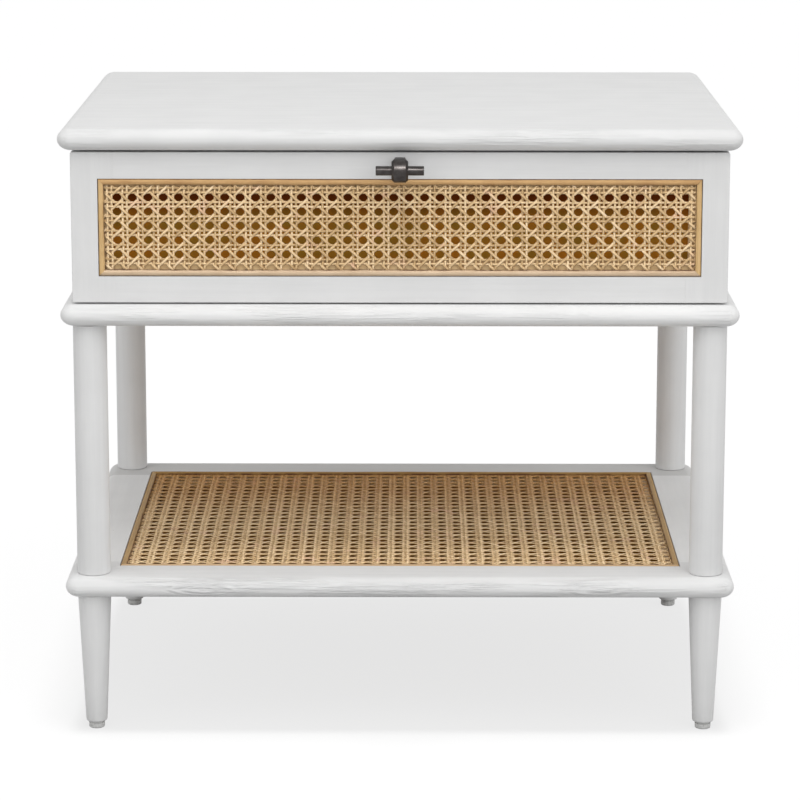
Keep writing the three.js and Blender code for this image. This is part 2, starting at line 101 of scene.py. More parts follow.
class Graph:
    """A shader or geometry tree that is being written.

    The Mix node's sockets go by number, because several of them share a name.
    """

    MIX_COLOURS = (6, 7)
    MIX_RESULT = 2

    def __init__(self, tree: bpy.types.NodeTree) -> None:
        """Starts on a tree and empties it.

        Args:
            tree: The tree to write in.
        """
        self.tree = tree
        tree.nodes.clear()

    def node(self, kind: str, settings: dict[str, Any] | None = None,
             inputs: dict[str | int, Any] | None = None) -> bpy.types.Node:
        """Makes any node.

        Args:
            kind: The node's type.
            settings: Its own settings, set before its sockets. "stops" fills a colour ramp.
            inputs: A value, a Signal or a socket for each input, by name or number.

        Returns:
            The new node.
        """
        node = self.tree.nodes.new(kind)
        for name, value in (settings or {}).items():
            if name == "stops":
                self._fill_ramp(node.color_ramp, value)
            else:
                setattr(node, name, value)
        for key, value in (inputs or {}).items():
            self.feed(node.inputs[key], value)
        return node

    def feed(self, socket: bpy.types.NodeSocket, value: Any) -> None:
        """Links a socket to a signal, or sets its value.

        Args:
            socket: The input to feed.
            value: A Signal, an output socket, or a plain value.
        """
        if isinstance(value, Signal):
            value = value.socket
        if isinstance(value, bpy.types.NodeSocket):
            self.tree.links.new(value, socket)
        elif socket.type == "RGBA" and len(value) == 3:
            socket.default_value = (*value, 1.0)
        else:
            socket.default_value = value

    def signal(self, kind: str, settings: dict[str, Any] | None = None,
               inputs: dict[str | int, Any] | None = None, output: str | int = 0) -> Signal:
        """Makes a node and gives one of its outputs, ready for arithmetic."""
        return Signal(self, self.node(kind, settings, inputs).outputs[output])

    def mix(self, factor: Any, first: Any, second: Any, blend: str = "MIX") -> Signal:
        """Blends two colours.

        Args:
            factor: How much of the second colour there is.
            first: The colour at 0.
            second: The colour at 1.
            blend: Blender's name for the way they blend.

        Returns:
            The blended colour.
        """
        settings = {"data_type": "RGBA", "blend_type": blend, "clamp_factor": True}
        low, high = self.MIX_COLOURS
        return self.signal("ShaderNodeMix", settings, {0: factor, low: first, high: second}, self.MIX_RESULT)

    def vector(self, x: Any = 0.0, y: Any = 0.0, z: Any = 0.0) -> Signal:
        """Makes a vector of three numbers, each a value or a Signal."""
        return self.signal("ShaderNodeCombineXYZ", {}, {0: x, 1: y, 2: z})

    def parts(self, vector: Any) -> tuple[Signal, ...]:
        """Takes a vector apart into its three numbers."""
        split = self.node("ShaderNodeSeparateXYZ", {}, {0: vector})
        return tuple(Signal(self, socket) for socket in split.outputs)

    @staticmethod
    def _fill_ramp(ramp: bpy.types.ColorRamp, stops: Sequence[tuple[float, Colour]]) -> None:
        """Gives a colour ramp its stops.

        Args:
            ramp: The ramp.
            stops: A place and a colour for each stop.
        """
        while len(ramp.elements) < len(stops):
            ramp.elements.new(1.0)
        for element, (place, colour) in zip(ramp.elements, stops):
            element.position = place
            element.color = (*colour, 1.0)


class Signal:
    """One number that varies, on a socket. Arithmetic on it adds Math nodes to its graph."""

    def __init__(self, graph: Graph, socket: bpy.types.NodeSocket) -> None:
        """Wraps an output socket of a graph."""
        self.graph = graph
        self.socket = socket

    def math(self, operation: str, *operands: Any, first: Any = None) -> Signal:
        """Adds one Math node.

        Args:
            operation: Blender's name for the operation.
            operands: What comes after this signal.
            first: What comes before it, for a reflected operation.

        Returns:
            The node's result.
        """
        values = [self, *operands] if first is None else [first, self]
        return self.graph.signal("ShaderNodeMath", {"operation": operation}, dict(enumerate(values)))

    def __add__(self, other: Any) -> Signal:
        """Adds."""
        return self.math("ADD", other)

    __radd__ = __add__

    def __sub__(self, other: Any) -> Signal:
        """Subtracts."""
        return self.math("SUBTRACT", other)

    def __rsub__(self, other: Any) -> Signal:
        """Subtracts this from another."""
        return self.math("SUBTRACT", first=other)

    def __mul__(self, other: Any) -> Signal:
        """Multiplies."""
        return self.math("MULTIPLY", other)

    __rmul__ = __mul__

    def __truediv__(self, other: Any) -> Signal:
        """Divides."""
        return self.math("DIVIDE", other)

    def __rtruediv__(self, other: Any) -> Signal:
        """Divides another by this."""
        return self.math("DIVIDE", first=other)

    def __pow__(self, other: Any) -> Signal:
        """Raises to a power."""
        return self.math("POWER", other)

    def __rpow__(self, other: Any) -> Signal:
        """Raises another to this power."""
        return self.math("POWER", first=other)

    def __gt__(self, other: Any) -> Signal:
        """Is 1 where this is greater."""
        return self.math("GREATER_THAN", other)

    def __lt__(self, other: Any) -> Signal:
        """Is 1 where this is less."""
        return self.math("LESS_THAN", other)

    def between(self, low: float, high: float) -> Signal:
        """Goes smoothly from 0 to 1 between two values of this signal.

        Args:
            low: Where the result is 0. It may be the greater of the two.
            high: Where the result is 1.

        Returns:
            The result, which stays at 0 and 1 outside them.
        """
        settings = {"interpolation_type": "SMOOTHSTEP"}
        values = {"Value": self, "From Min": low, "From Max": high}
        return self.graph.signal("ShaderNodeMapRange", settings, values)


# ---- meshes ----


@dataclass(frozen=True)
class Box:
    """The space of one or more nodes of the frame."""

    low: Vector
    high: Vector

    @classmethod
    def of(cls, *nodes: str) -> Box:
        """Measures the box around some nodes.

        Args:
            nodes: The nodes' names.

        Returns:
            The box.
        """
        corners = [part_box(node) for node in nodes]
        low = Vector([min(corner[0][axis] for corner in corners) for axis in range(3)])
        high = Vector([max(corner[1][axis] for corner in corners) for axis in range(3)])
        return cls(low, high)

    @property
    def centre(self) -> Vector:
        """The middle of the box."""
        return (self.low + self.high) / 2

    @property
    def size(self) -> Vector:
        """The box's three sizes."""
        return self.high - self.low


@dataclass
class Shape:
    """The vertices and faces of a mesh that is being made, with any numbers kept on its vertices."""

    vertices: np.ndarray
    faces: list[tuple[int, ...]]
    marks: dict[str, np.ndarray] = field(default_factory=dict)

    def placed(self, matrix: Matrix) -> Shape:
        """Moves the shape.

        Args:
            matrix: A turn and a shift, which doesn't mirror.

        Returns:
            The moved shape.
        """
        turn = np.array(matrix.to_3x3())
        moved = self.vertices @ turn.T + np.array(matrix.translation)
        return Shape(moved, self.faces, self.marks)

    def with_shape(self, other: Shape) -> Shape:
        """Joins another shape to this one.

        Args:
            other: The other shape, which has this one's marks too.

        Returns:
            Both as one shape.
        """
        shift = len(self.vertices)
        faces = self.faces + [tuple(index + shift for index in face) for face in other.faces]
        marks = {name: np.concatenate([values, other.marks[name]]) for name, values in self.marks.items()}
        return Shape(np.concatenate([self.vertices, other.vertices]), faces, marks)

    def piece(self, name: str, smooth_angle: float = SMOOTH_ANGLE) -> bpy.types.Object:
        """Makes the Blender object.

        Args:
            name: The object's name.
            smooth_angle: Edges sharper than this stay sharp.

        Returns:
            The object, at the origin, with its place in its mesh.
        """
        mesh = bpy.data.meshes.new(name)
        mesh.from_pydata([tuple(vertex) for vertex in self.vertices], [], self.faces)
        for mark, values in self.marks.items():
            attribute = mesh.attributes.new(mark, "FLOAT", "POINT")
            attribute.data.foreach_set("value", np.asarray(values, np.float32))
        mesh.validate()
        mesh.shade_smooth()
        mesh.set_sharp_from_angle(angle=smooth_angle)
        piece = bpy.data.objects.new(name, mesh)
        bpy.context.scene.collection.objects.link(piece)
        return piece


def loft(rings: Sequence[Ring], closed: bool = False) -> Shape:
    """Skins a row of rings that have as many points each.

    Args:
        rings: The rings, each an array of points that turns anticlockwise seen from the last one.
        closed: The last ring joins the first, and otherwise both ends are capped.

    Returns:
        The closed surface.
    """
    count = len(rings[0])
    faces: list[tuple[int, ...]] = []
    spans = len(rings) if closed else len(rings) - 1
    for span in range(spans):
        low = span * count
        high = (span + 1) % len(rings) * count
        for i in range(count):
            j = (i + 1) % count
            faces.append((low + i, low + j, high + j, high + i))
    if not closed:
        last = (len(rings) - 1) * count
        faces.append(tuple(reversed(range(count))))
        faces.append(tuple(range(last, last + count)))
    return Shape(np.concatenate(rings), faces)


def eased_profile(points: Sequence[tuple[float, float]], radii: dict[int, float],
                  steps: int = 4) -> list[tuple[float, float]]:
    """Rounds some corners of a profile.

    Args:
        points: The profile's corners.
        radii: The rounding's radius for each corner that has one, by the corner's number.
        steps: Straight steps in each rounding.

    Returns:
        The profile with its roundings as points.
    """
    result: list[tuple[float, float]] = []
    for number, point in enumerate(points):
        if number not in radii:
            result.append(point)
            continue
        here = Vector(point)
        before = (Vector(points[number - 1]) - here).normalized()
        after = (Vector(points[(number + 1) % len(points)]) - here).normalized()
        half = before.angle(after) / 2
        reach = radii[number] / math.tan(half)
        centre = here + (before + after).normalized() * (radii[number] / math.sin(half))
        start = here + before * reach - centre
        sweep = start.angle_signed(here + after * reach - centre)
        for step in range(steps + 1):
            turn = Matrix.Rotation(-sweep * step / steps, 2)
            result.append(tuple(centre + turn @ start))
    return result


def turned(profile: Sequence[tuple[float, float]], sides: int, closed: bool = False) -> Shape:
    """Turns a profile about the Z axis.

    Args:
        profile: Pairs of radius and height. An open profile starts and ends on the axis.
        sides: Flat sides round the piece.
        closed: The profile is a loop clear of the axis.

    Returns:
        The turned surface.
    """
    angles = np.arange(sides) * 2 * math.pi / sides
    circle = np.stack([np.cos(angles), np.sin(angles), np.zeros(sides)], axis=1)
    lift = np.array([0.0, 0.0, 1.0])
    body = profile if closed else profile[1:-1]
    rings = [radius * circle + height * lift for radius, height in body]
    shape = loft(rings, closed)
    if closed:
        return shape
    first, last = len(shape.vertices), len(shape.vertices) + 1
    poles = np.array([profile[0][1] * lift, profile[-1][1] * lift])
    top = (len(rings) - 1) * sides
    faces = shape.faces[:-2]
    for i in range(sides):
        j = (i + 1) % sides
        faces.append((j, i, first))
        faces.append((top + i, top + j, last))
    return Shape(np.concatenate([shape.vertices, poles]), faces)


def rounded_ring(half_x: float, half_y: float, radius: float, height: float, steps: int = 8) -> Ring:
    """Draws a rounded rectangle about the Z axis.

    Args:
        half_x: Half its size along X.
        half_y: Half its size along Y.
        radius: Its corners' radius.
        height: Where it lies on Z.
        steps: Straight steps in each corner.

    Returns:
        Its points, anticlockwise from above.
    """
    angles = np.linspace(0, math.pi / 2, steps + 1)
    corners = []
    for quarter, (side_x, side_y) in enumerate(((1, 1), (-1, 1), (-1, -1), (1, -1))):
        turn = angles + quarter * math.pi / 2
        x = side_x * (half_x - radius) + radius * np.cos(turn)
        y = side_y * (half_y - radius) + radius * np.sin(turn)
        corners.append(np.stack([x, y, np.full_like(x, height)], axis=1))
    return np.concatenate(corners)


def block(low: Sequence[float], high: Sequence[float]) -> Shape:
    """A plain block, used to cut with.

    Args:
        low: Its lowest corner.
        high: Its highest corner.

    Returns:
        The block.
    """
    x0, y0, z0 = low
    x1, y1, z1 = high
    ring = np.array([[x0, y0, 0], [x1, y0, 0], [x1, y1, 0], [x0, y1, 0]], float)
    return loft([ring + [0, 0, z0], ring + [0, 0, z1]])


def drill(x: float, y: float, low: float, high: float, diameter: float, sides: int = 32) -> Shape:
    """An upright round cutter.

    Args:
        x: Its axis along X.
        y: Its axis along Y.
        low: The height of its lower end.
        high: The height of its upper end.
        diameter: Its diameter.
        sides: Flat sides round it.

    Returns:
        The cutter.
    """
    radius = diameter / 2
    shape = turned([(0, low), (radius, low), (radius, high), (0, high)], sides)
    return shape.placed(Matrix.Translation((x, y, 0)))


def carved(name: str, blank: Shape, cuts: Sequence[Shape], keep: Shape | None = None) -> Shape:
    """Cuts a blank, as a maker would with a router and a drill.

    Args:
        name: A name for the work in hand.
        blank: What is cut.
        cuts: What is taken away.
        keep: Where given, only what lies inside it is kept.

    Returns:
        The cut shape.
    """
    work = blank.piece(name)
    helpers = [work]
    steps = [(cut, "DIFFERENCE") for cut in cuts]
    if keep is not None:
        steps.append((keep, "INTERSECT"))
    for number, (tool, operation) in enumerate(steps):
        cutter = tool.piece(f"{name}_cutter_{number}")
        helpers.append(cutter)
        boolean = work.modifiers.new(f"cut_{number}", "BOOLEAN")
        boolean.operation = operation
        boolean.solver = "EXACT"
        boolean.object = cutter
    graph = bpy.context.evaluated_depsgraph_get()
    mesh = bpy.data.meshes.new_from_object(work.evaluated_get(graph), depsgraph=graph)
    vertices = np.array([vertex.co for vertex in mesh.vertices], float).reshape(-1, 3)
    faces = [tuple(face.vertices) for face in mesh.polygons]
    bpy.data.meshes.remove(mesh)
    for helper in helpers:
        bpy.data.meshes.remove(helper.data)
    return Shape(vertices, faces)


def lay_finish(pieces: Iterable[bpy.types.Object], finish: Finish) -> None:
    """Gives pieces a finish through their material slots.

    Args:
        pieces: The pieces.
        finish: Their finish.
    """
    material = finish.material()
    for piece in pieces:
        if not piece.material_slots:
            piece.data.materials.append(material)
        for holder in piece.material_slots:
            holder.material = material


def settle(piece: bpy.types.Object, body: str, finish: Finish, *nodes: str) -> bpy.types.Object:
    """Finishes a new piece: its material, its body and the nodes that it stands for.

    Args:
        piece: The piece.
        body: The body that it moves with.
        finish: Its finish.
        nodes: The nodes that it replaces.

    Returns:
        The piece.
    """
    lay_finish([piece], finish)
    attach(piece, body)
    if nodes:
        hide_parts(*nodes)
    log.info("%s: %d faces on %s", piece.name, len(piece.data.polygons), body)
    return piece


def refinish(piece: bpy.types.Object, space: Box, finish: Finish) -> None:
    """Gives some faces of a piece another finish.

    Args:
        piece: The piece.
        space: Faces whose centres lie inside it change.
        finish: Their new finish.
    """
    number = len(piece.data.materials)
    piece.data.materials.append(finish.material())
    for face in piece.data.polygons:
        if all(space.low[axis] < face.center[axis] < space.high[axis] for axis in range(3)):
            face.material_index = number


def dress(nodes: Iterable[str], finish: Finish) -> None:
    """Gives their finish to nodes that show as they are.

    Args:
        nodes: The nodes' names.
        finish: Their finish.
    """
    pieces = [frame["nodes"][node] for node in nodes]
    lay_finish(pieces, finish)
    for piece in pieces:
        log.info("%s: %s", piece.name, finish.name)


# ---- finishes ----


class Axis(Enum):
    """A direction that grain or strands run in."""

    X = 0
    Y = 1
    Z = 2


@dataclass(frozen=True)
class Finish:
    """A surface finish. Each kind writes its own shader.

    Repeats count how often a pattern comes back in a metre, along its axis and across it. A relief is
    the height of the small unevenness that the light shows.
    """

    name: str
    slot: str

    def material(self) -> bpy.types.Material:
        """Makes the finish's material the first time, and finds it after that.

        Returns:
            The material.
        """
        found = bpy.data.materials.get(self.name)
        if found:
            return found
        material = bpy.data.materials.new(self.name)
        material.use_nodes = True
        graph = Graph(material.node_tree)
        graph.node("ShaderNodeOutputMaterial", {}, {"Surface": self.surface(graph)})
        return material

    def surface(self, graph: Graph) -> bpy.types.NodeSocket:
        """Writes the shader and returns its output."""
        raise NotImplementedError

    @staticmethod
    def principled(graph: Graph, **inputs: Any) -> bpy.types.NodeSocket:
        """Adds the surface shader, with underscores for the spaces in its sockets' names."""
        values = {key.replace("_", " "): value for key, value in inputs.items()}
        return graph.node("ShaderNodeBsdfPrincipled", {}, values).outputs[0]

    @staticmethod
    def place(graph: Graph) -> Signal:
        """Where a point of the surface is on the piece."""
        return graph.signal("ShaderNodeTexCoord", {}, {}, "Object")

    @staticmethod
    def kept(graph: Graph, name: str) -> Signal:
        """The number that the mesh keeps on its vertices under a name."""
        return graph.signal("ShaderNodeAttribute", {"attribute_name": name}, {}, "Fac")

    @staticmethod
    def noise(graph: Graph, vector: Signal, scale: float, detail: float = 2.0,
              roughness: float = 0.5) -> Signal:
        """Soft noise between 0 and 1."""
        values = {"Vector": vector, "Scale": scale, "Detail": detail, "Roughness": roughness}
        return graph.signal("ShaderNodeTexNoise", {}, values, "Fac")

    @staticmethod
    def grained(graph: Graph, axis: Axis, repeats: Repeats, detail: float = 2.0,
                roughness: float = 0.5) -> Signal:
        """Soft noise that is drawn out along one axis.

        Args:
            graph: The tree to write in.
            axis: The direction that is drawn out.
            repeats: Repeats per metre along it and across it.
            detail: How many finer layers lie over the first.
            roughness: How strong the finer layers are.

        Returns:
            The noise, between 0 and 1.
        """
        along, across = repeats
        scale = [across] * 3
        scale[axis.value] = along
        drawn = graph.signal("ShaderNodeMapping", {}, {"Vector": Finish.place(graph), "Scale": scale})
        return Finish.noise(graph, drawn, 1.0, detail, roughness)

    @staticmethod
    def bump(graph: Graph, height: Signal, distance: float, strength: float) -> Signal:
        """A bumped normal."""
        values = {"Height": height, "Distance": distance, "Strength": strength}
        return graph.signal("ShaderNodeBump", {}, values)


@dataclass(frozen=True)
class PaintFinish(Finish):
    """Matte white paint brushed over solid wood, whose grain stands out on the rounded edges."""

    grain: Axis = Axis.X
    light: Colour = (0.725, 0.725, 0.722)
    shade: Colour = (0.675, 0.675, 0.673)
    speck: Colour = (0.30, 0.27, 0.23)
    open_grain: float = 0.45
    knots: tuple[tuple[float, float], ...] = ()
    knot_reach: tuple[float, float] = (38 * MM, 8 * MM)
    knot_rings: float = 15.0
    knot_unrest: float = 9.0
    knot_height: float = 1.3
    brush_repeats: Repeats = (7, 190)
    pore_repeats: Repeats = (30, 900)
    line_repeats: Repeats = (22, 500)
    patch_repeats: Repeats = (9, 60)
    ripple_repeats: Repeats = (20, 120)
    mottle_scale: float = 22.0
    speck_scale: float = 26.0
    speck_rarity: float = 0.93
    speck_cover: float = 0.8
    edge_reach: float = 4 * MM
    flat_lines: float = 0.25
    edge_lines: float = 3.2
    relief: float = 0.5 * MM

    def surface(self, graph: Graph) -> bpy.types.NodeSocket:
        """Writes brush streaks, soft mottling, a few specks and the grain's relief.

        Args:
            graph: The tree to write in.

        Returns:
            The shader's output.
        """
        streaks = self.grained(graph, self.grain, self.brush_repeats, 4.0, 0.6)
        mottling = self.noise(graph, self.place(graph), self.mottle_scale, 3.0)
        tone = streaks.between(0.28, 0.72) * 0.55 + mottling.between(0.3, 0.7) * 0.45
        colour = graph.mix(tone, self.shade, self.light)
        colour = graph.mix(self._specks(graph) * self.speck_cover, colour, self.speck)
        pores = self.grained(graph, self.grain, self.pore_repeats, 3.0, 0.6)
        height = streaks * 0.35 + pores * 0.15 + self._open_grain(graph) + self._knots(graph)
        return self.principled(
            graph, Base_Color=colour, Roughness=0.5 + 0.12 * mottling, Specular_IOR_Level=0.1,
            Normal=self.bump(graph, height, self.relief, 0.55))

    def _specks(self, graph: Graph) -> Signal:
        """Small round specks, in the few cells of a scattered pattern that chance picks.

        Args:
            graph: The tree to write in.

        Returns:
            1 on a speck and 0 elsewhere.
        """
        cells = graph.node("ShaderNodeTexVoronoi", {},
                           {"Vector": self.place(graph), "Scale": self.speck_scale})
        distance = Signal(graph, cells.outputs["Distance"])
        chance = graph.signal("ShaderNodeSeparateColor", {}, {0: cells.outputs["Color"]}, 0)
        return distance.between(0.022, 0.008) * (chance > self.speck_rarity)

    def _open_grain(self, graph: Graph) -> Signal:
        """Patches of long open grain: faint on flat faces and stronger along a board's rounded edges.

        Args:
            graph: The tree to write in.

        Returns:
            The lines' height.
        """
        lines = self.grained(graph, self.grain, self.line_repeats, 3.0, 0.6)
        patches = self.grained(graph, self.grain, self.patch_repeats, 2.0)
        board = Box.of("top_board")
        flat = (board.size - Vector((1, 1, 1)) * board.size.z) / 2
        coordinates = graph.parts(self.place(graph))
        edge_x, edge_y = ((coordinates[axis] - board.centre[axis]).math("ABSOLUTE")
                          .between(flat[axis], flat[axis] + self.edge_reach) for axis in range(2))
        rounded, end = (edge_x, edge_y) if self.grain is Axis.Y else (edge_y, edge_x)
        marks = lines.between(0.58, 0.42) * patches.between(0.4, 0.6) * (1 - end)
        return marks * (self.flat_lines + self.edge_lines * rounded) * self.open_grain

    def _knots(self, graph: Graph) -> Signal | float:
        """The grain's lines round each knot, which lie in a long pointed shape.

        Args:
            graph: The tree to write in.

        Returns:
            The lines' height, which is 0 where the wood has no knots.
        """
        height: Signal | float = 0.0
        if not self.knots:
            return height
        x, _, z = graph.parts(self.place(graph))
        ripple = self.grained(graph, self.grain, self.ripple_repeats, 2.0)
        reach_x, reach_z = self.knot_reach
        for knot_x, knot_z in self.knots:
            across = ((x - knot_x) / reach_x) ** 2 + ((z - knot_z) / reach_z) ** 2
            lines = ((across ** 0.5) * self.knot_rings + ripple * self.knot_unrest).math("SINE")
            height = height + lines * across.between(1.1, 0.4) * self.knot_height
        return height


@dataclass(frozen=True)
class CaneFinish(Finish):
    """Split cane: each strand has its own tone and fine streaks along its length."""

    pale: Colour = (0.93, 0.72, 0.46)
    middle: Colour = (0.69, 0.48, 0.25)
    deep: Colour = (0.40, 0.24, 0.095)
    tinge: Colour = (0.78, 0.48, 0.34)
    painted_edge_shade: Colour = (0.20, 0.11, 0.04)
    painted_back_shade: Colour = (1.0, 1.0, 1.0)
    back_shade_from: float = 0.0
    back_shade_to: float = 1.0
    shine: float = 0.5
    patches_per_metre: float = 60.0
    strand_spread: float = 97.0
    fibre_scale: float = 900.0
    blush_scale: float = 45.0
    relief: float = 0.08 * MM

    def surface(self, graph: Graph) -> bpy.types.NodeSocket:
        """Writes the strands' tones, painted shade along their edges, and painted shade that darkens them
        towards the back.

        Args:
            graph: The tree to write in.

        Returns:
            The shader's output.
        """
        tone, run = self.kept(graph, "tone"), self.kept(graph, "run")
        patches = self.noise(
            graph, graph.vector(run * self.patches_per_metre, tone * self.strand_spread), 1.0, 3.0, 0.6)
        fibres = self.noise(graph, self.place(graph), self.fibre_scale, 2.0, 0.6)
        value = tone * 0.35 + patches * 0.5 + fibres * 0.25 - 0.05
        stops = [(0.22, self.deep), (0.5, self.middle), (0.8, self.pale)]
        colour = graph.node("ShaderNodeValToRGB", {"stops": stops}, {0: value}).outputs[0]
        blush = self.noise(graph, self.place(graph), self.blush_scale, 2.0, 0.6)
        colour = graph.mix(blush.between(0.56, 0.72) * 0.5, colour, self.tinge)
        # Painted shade: the strands darken towards their edges, where they meet and shade each other.
        rim = self.kept(graph, "rim")
        colour = graph.mix(rim.between(0.5, 1.0) * 0.6, colour, self.painted_edge_shade)
        # Painted shade: the colour darkens towards the back of the piece, where the case above shades the
        # shelf.
        _, depth, _ = graph.parts(self.place(graph))
        colour = graph.mix(depth.between(self.back_shade_from, self.back_shade_to), colour, self.painted_back_shade, "MULTIPLY")
        return self.principled(
            graph, Base_Color=colour, Roughness=0.36 + 0.2 * patches, Specular_IOR_Level=self.shine,
            Normal=self.bump(graph, fibres, self.relief, 0.5))


@dataclass(frozen=True)
class ReedFinish(Finish):
    """Round reed with long fibres, darker where its edges meet the wood and the webbing: partly glue stain,
    partly painted shade.
    """

    grain: Axis = Axis.X
    pale: Colour = (0.76, 0.50, 0.24)
    deep: Colour = (0.46, 0.25, 0.09)
    rim: Colour = (0.13, 0.06, 0.03)
    shine: float = 0.5
    fibre_repeats: Repeats = (14, 900)
    patch_scale: float = 35.0
    rim_patch_scale: float = 90.0
    relief: float = 0.12 * MM

    def surface(self, graph: Graph) -> bpy.types.NodeSocket:
        """Writes the fibres, and the dark rims, partly glue stain and partly painted shade, from what the
        strips keep on their vertices.

        Args:
            graph: The tree to write in.

        Returns:
            The shader's output.
        """
        fibres = self.grained(graph, self.grain, self.fibre_repeats, 3.0, 0.65)
        patches = self.noise(graph, self.place(graph), self.patch_scale, 3.0, 0.6)
        value = fibres * 0.6 + patches * 0.5 - 0.05
        stops = [(0.3, self.deep), (0.72, self.pale)]
        colour = graph.node("ShaderNodeValToRGB", {"stops": stops}, {0: value}).outputs[0]
        # The rims darken in patches; the darkness is glue stain and painted shade where the reed meets the
        # frame and the webbing.
        rim_patches = self.noise(graph, self.place(graph), self.rim_patch_scale)
        edge = self.kept(graph, "rim").between(0.55, 0.95) * (0.35 + 0.65 * rim_patches.between(0.35, 0.6))
        return self.principled(
            graph, Base_Color=graph.mix(edge, colour, self.rim), Roughness=0.4 + 0.2 * patches,
            Specular_IOR_Level=self.shine, Normal=self.bump(graph, fibres, self.relief, 0.5))


@dataclass(frozen=True)
class WoodFinish(Finish):
    """Plain wood or board with grain along one axis."""

    grain: Axis = Axis.X
    pale: Colour = (0.62, 0.49, 0.32)
    deep: Colour = (0.50, 0.37, 0.22)
    dullness: float = 0.5
    figure_repeats: Repeats = (4, 60)
    pore_repeats: Repeats = (40, 1100)
    relief: float = 0.1 * MM

    def surface(self, graph: Graph) -> bpy.types.NodeSocket:
        """Writes wide figure and fine pores.

        Args:
            graph: The tree to write in.

        Returns:
            The shader's output.
        """
        figure = self.grained(graph, self.grain, self.figure_repeats, 4.0, 0.6)
        pores = self.grained(graph, self.grain, self.pore_repeats, 2.0, 0.6)
        tone = figure.between(0.3, 0.7) * 0.7 + pores * 0.3
        return self.principled(
            graph, Base_Color=graph.mix(tone, self.deep, self.pale), Roughness=self.dullness,
            Normal=self.bump(graph, pores, self.relief, 0.4))


@dataclass(frozen=True)
class StainFinish(Finish):
    """Matte brown stain that differs from place to place, with painted shadow that darkens it towards one
    level.
    """

    fresh: Colour = (0.54, 0.225, 0.022)
    olive: Colour = (0.42, 0.235, 0.03)
    shadow_colour: Colour = (0.20, 0.045, 0.004)
    shadow_level: float = 10.0
    fade: float = 1.0
    patch_scale: float = 60.0
    pore_repeats: Repeats = (40, 900)
    relief: float = 0.1 * MM

    def surface(self, graph: Graph) -> bpy.types.NodeSocket:
        """Writes the two browns and the painted shadow that darkens them towards the level.

        Args:
            graph: The tree to write in.

        Returns:
            The shader's output.
        """
        patches = self.noise(graph, self.place(graph), self.patch_scale)
        colour = graph.mix(patches.between(0.35, 0.65), self.fresh, self.olive)
        _, _, height = graph.parts(self.place(graph))
        # Painted shadow: the colour darkens towards shadow_level, where a rail above shades the board.
        near = height.between(self.shadow_level - self.fade, self.shadow_level)
        pores = self.grained(graph, Axis.X, self.pore_repeats, 2.0, 0.6)
        return self.principled(
            graph, Base_Color=graph.mix(near, colour, self.shadow_colour), Roughness=0.7,
            Specular_IOR_Level=0.1, Normal=self.bump(graph, pores, self.relief, 0.4))


@dataclass(frozen=True)
class MetalFinish(Finish):
    """Brushed or plated metal with slight cloudiness."""

    colour: Colour = (0.10, 0.09, 0.085)
    cloud: Colour = (0.06, 0.052, 0.048)
    dullness: float = 0.32
    brushing: Axis = Axis.X
    cloud_scale: float = 160.0
    brush_repeats: Repeats = (60, 2600)
    relief: float = 0.03 * MM

    def surface(self, graph: Graph) -> bpy.types.NodeSocket:
        """Writes the clouding, the brush marks and a varying polish.

        Args:
            graph: The tree to write in.

        Returns:
            The shader's output.
        """
        clouding = self.noise(graph, self.place(graph), self.cloud_scale, 3.0, 0.6)
        marks = self.grained(graph, self.brushing, self.brush_repeats)
        return self.principled(
            graph, Base_Color=graph.mix(clouding.between(0.3, 0.7), self.cloud, self.colour),
            Metallic=1.0, Roughness=self.dullness + 0.18 * clouding,
            Normal=self.bump(graph, marks, self.relief, 0.5))


@dataclass(frozen=True)
class PlasticFinish(Finish):
    """Moulded nylon with a fine texture."""

    colour: Colour = (0.60, 0.60, 0.59)
    scuffed: Colour = (0.36, 0.36, 0.35)
    scuff_scale: float = 240.0
    mould_scale: float = 2200.0
    relief: float = 0.04 * MM

    def surface(self, graph: Graph) -> bpy.types.NodeSocket:
        """Writes scuffs and the mould's texture.

        Args:
            graph: The tree to write in.

        Returns:
            The shader's output.
        """
        scuffs = self.noise(graph, self.place(graph), self.scuff_scale, 3.0, 0.7)
        grain = self.noise(graph, self.place(graph), self.mould_scale, 1.0)
        colour = graph.mix(scuffs.between(0.5, 0.75), self.colour, self.scuffed)
        return self.principled(
            graph, Base_Color=colour, Roughness=0.5 + 0.1 * scuffs,
            Normal=self.bump(graph, grain, self.relief, 0.4))


PAINT_ACROSS = PaintFinish("white_paint_across", "white_paint", Axis.X)
PAINT_DEEP = PaintFinish("white_paint_front_to_back", "white_paint", Axis.Y)
PAINT_UPRIGHT = PaintFinish("white_paint_upright", "white_paint", Axis.Z, open_grain=0.2)
# Lightened copies of the white paint, as painted light: on the shelf's front rail, which also has real
# knots, on the floor board and on the shelf's stiles.
PAINT_KNOTTY_LIGHTENED = PaintFinish("white_paint_knotty_painted_light", "white_paint", Axis.X, (0.765, 0.765, 0.762),
                           (0.71, 0.71, 0.708), open_grain=1.1,
                           knots=((-177 * MM, 136 * MM), (180 * MM, 136 * MM)))
PAINT_FLOOR_LIGHTENED = PaintFinish("white_paint_floor_painted_light", "white_paint", Axis.X, (0.785, 0.785, 0.782),
                          (0.735, 0.735, 0.733))
PAINT_SHELF_LIGHTENED = PaintFinish("white_paint_shelf_painted_light", "white_paint", Axis.Y, (0.83, 0.83, 0.827),
                          (0.78, 0.78, 0.777))
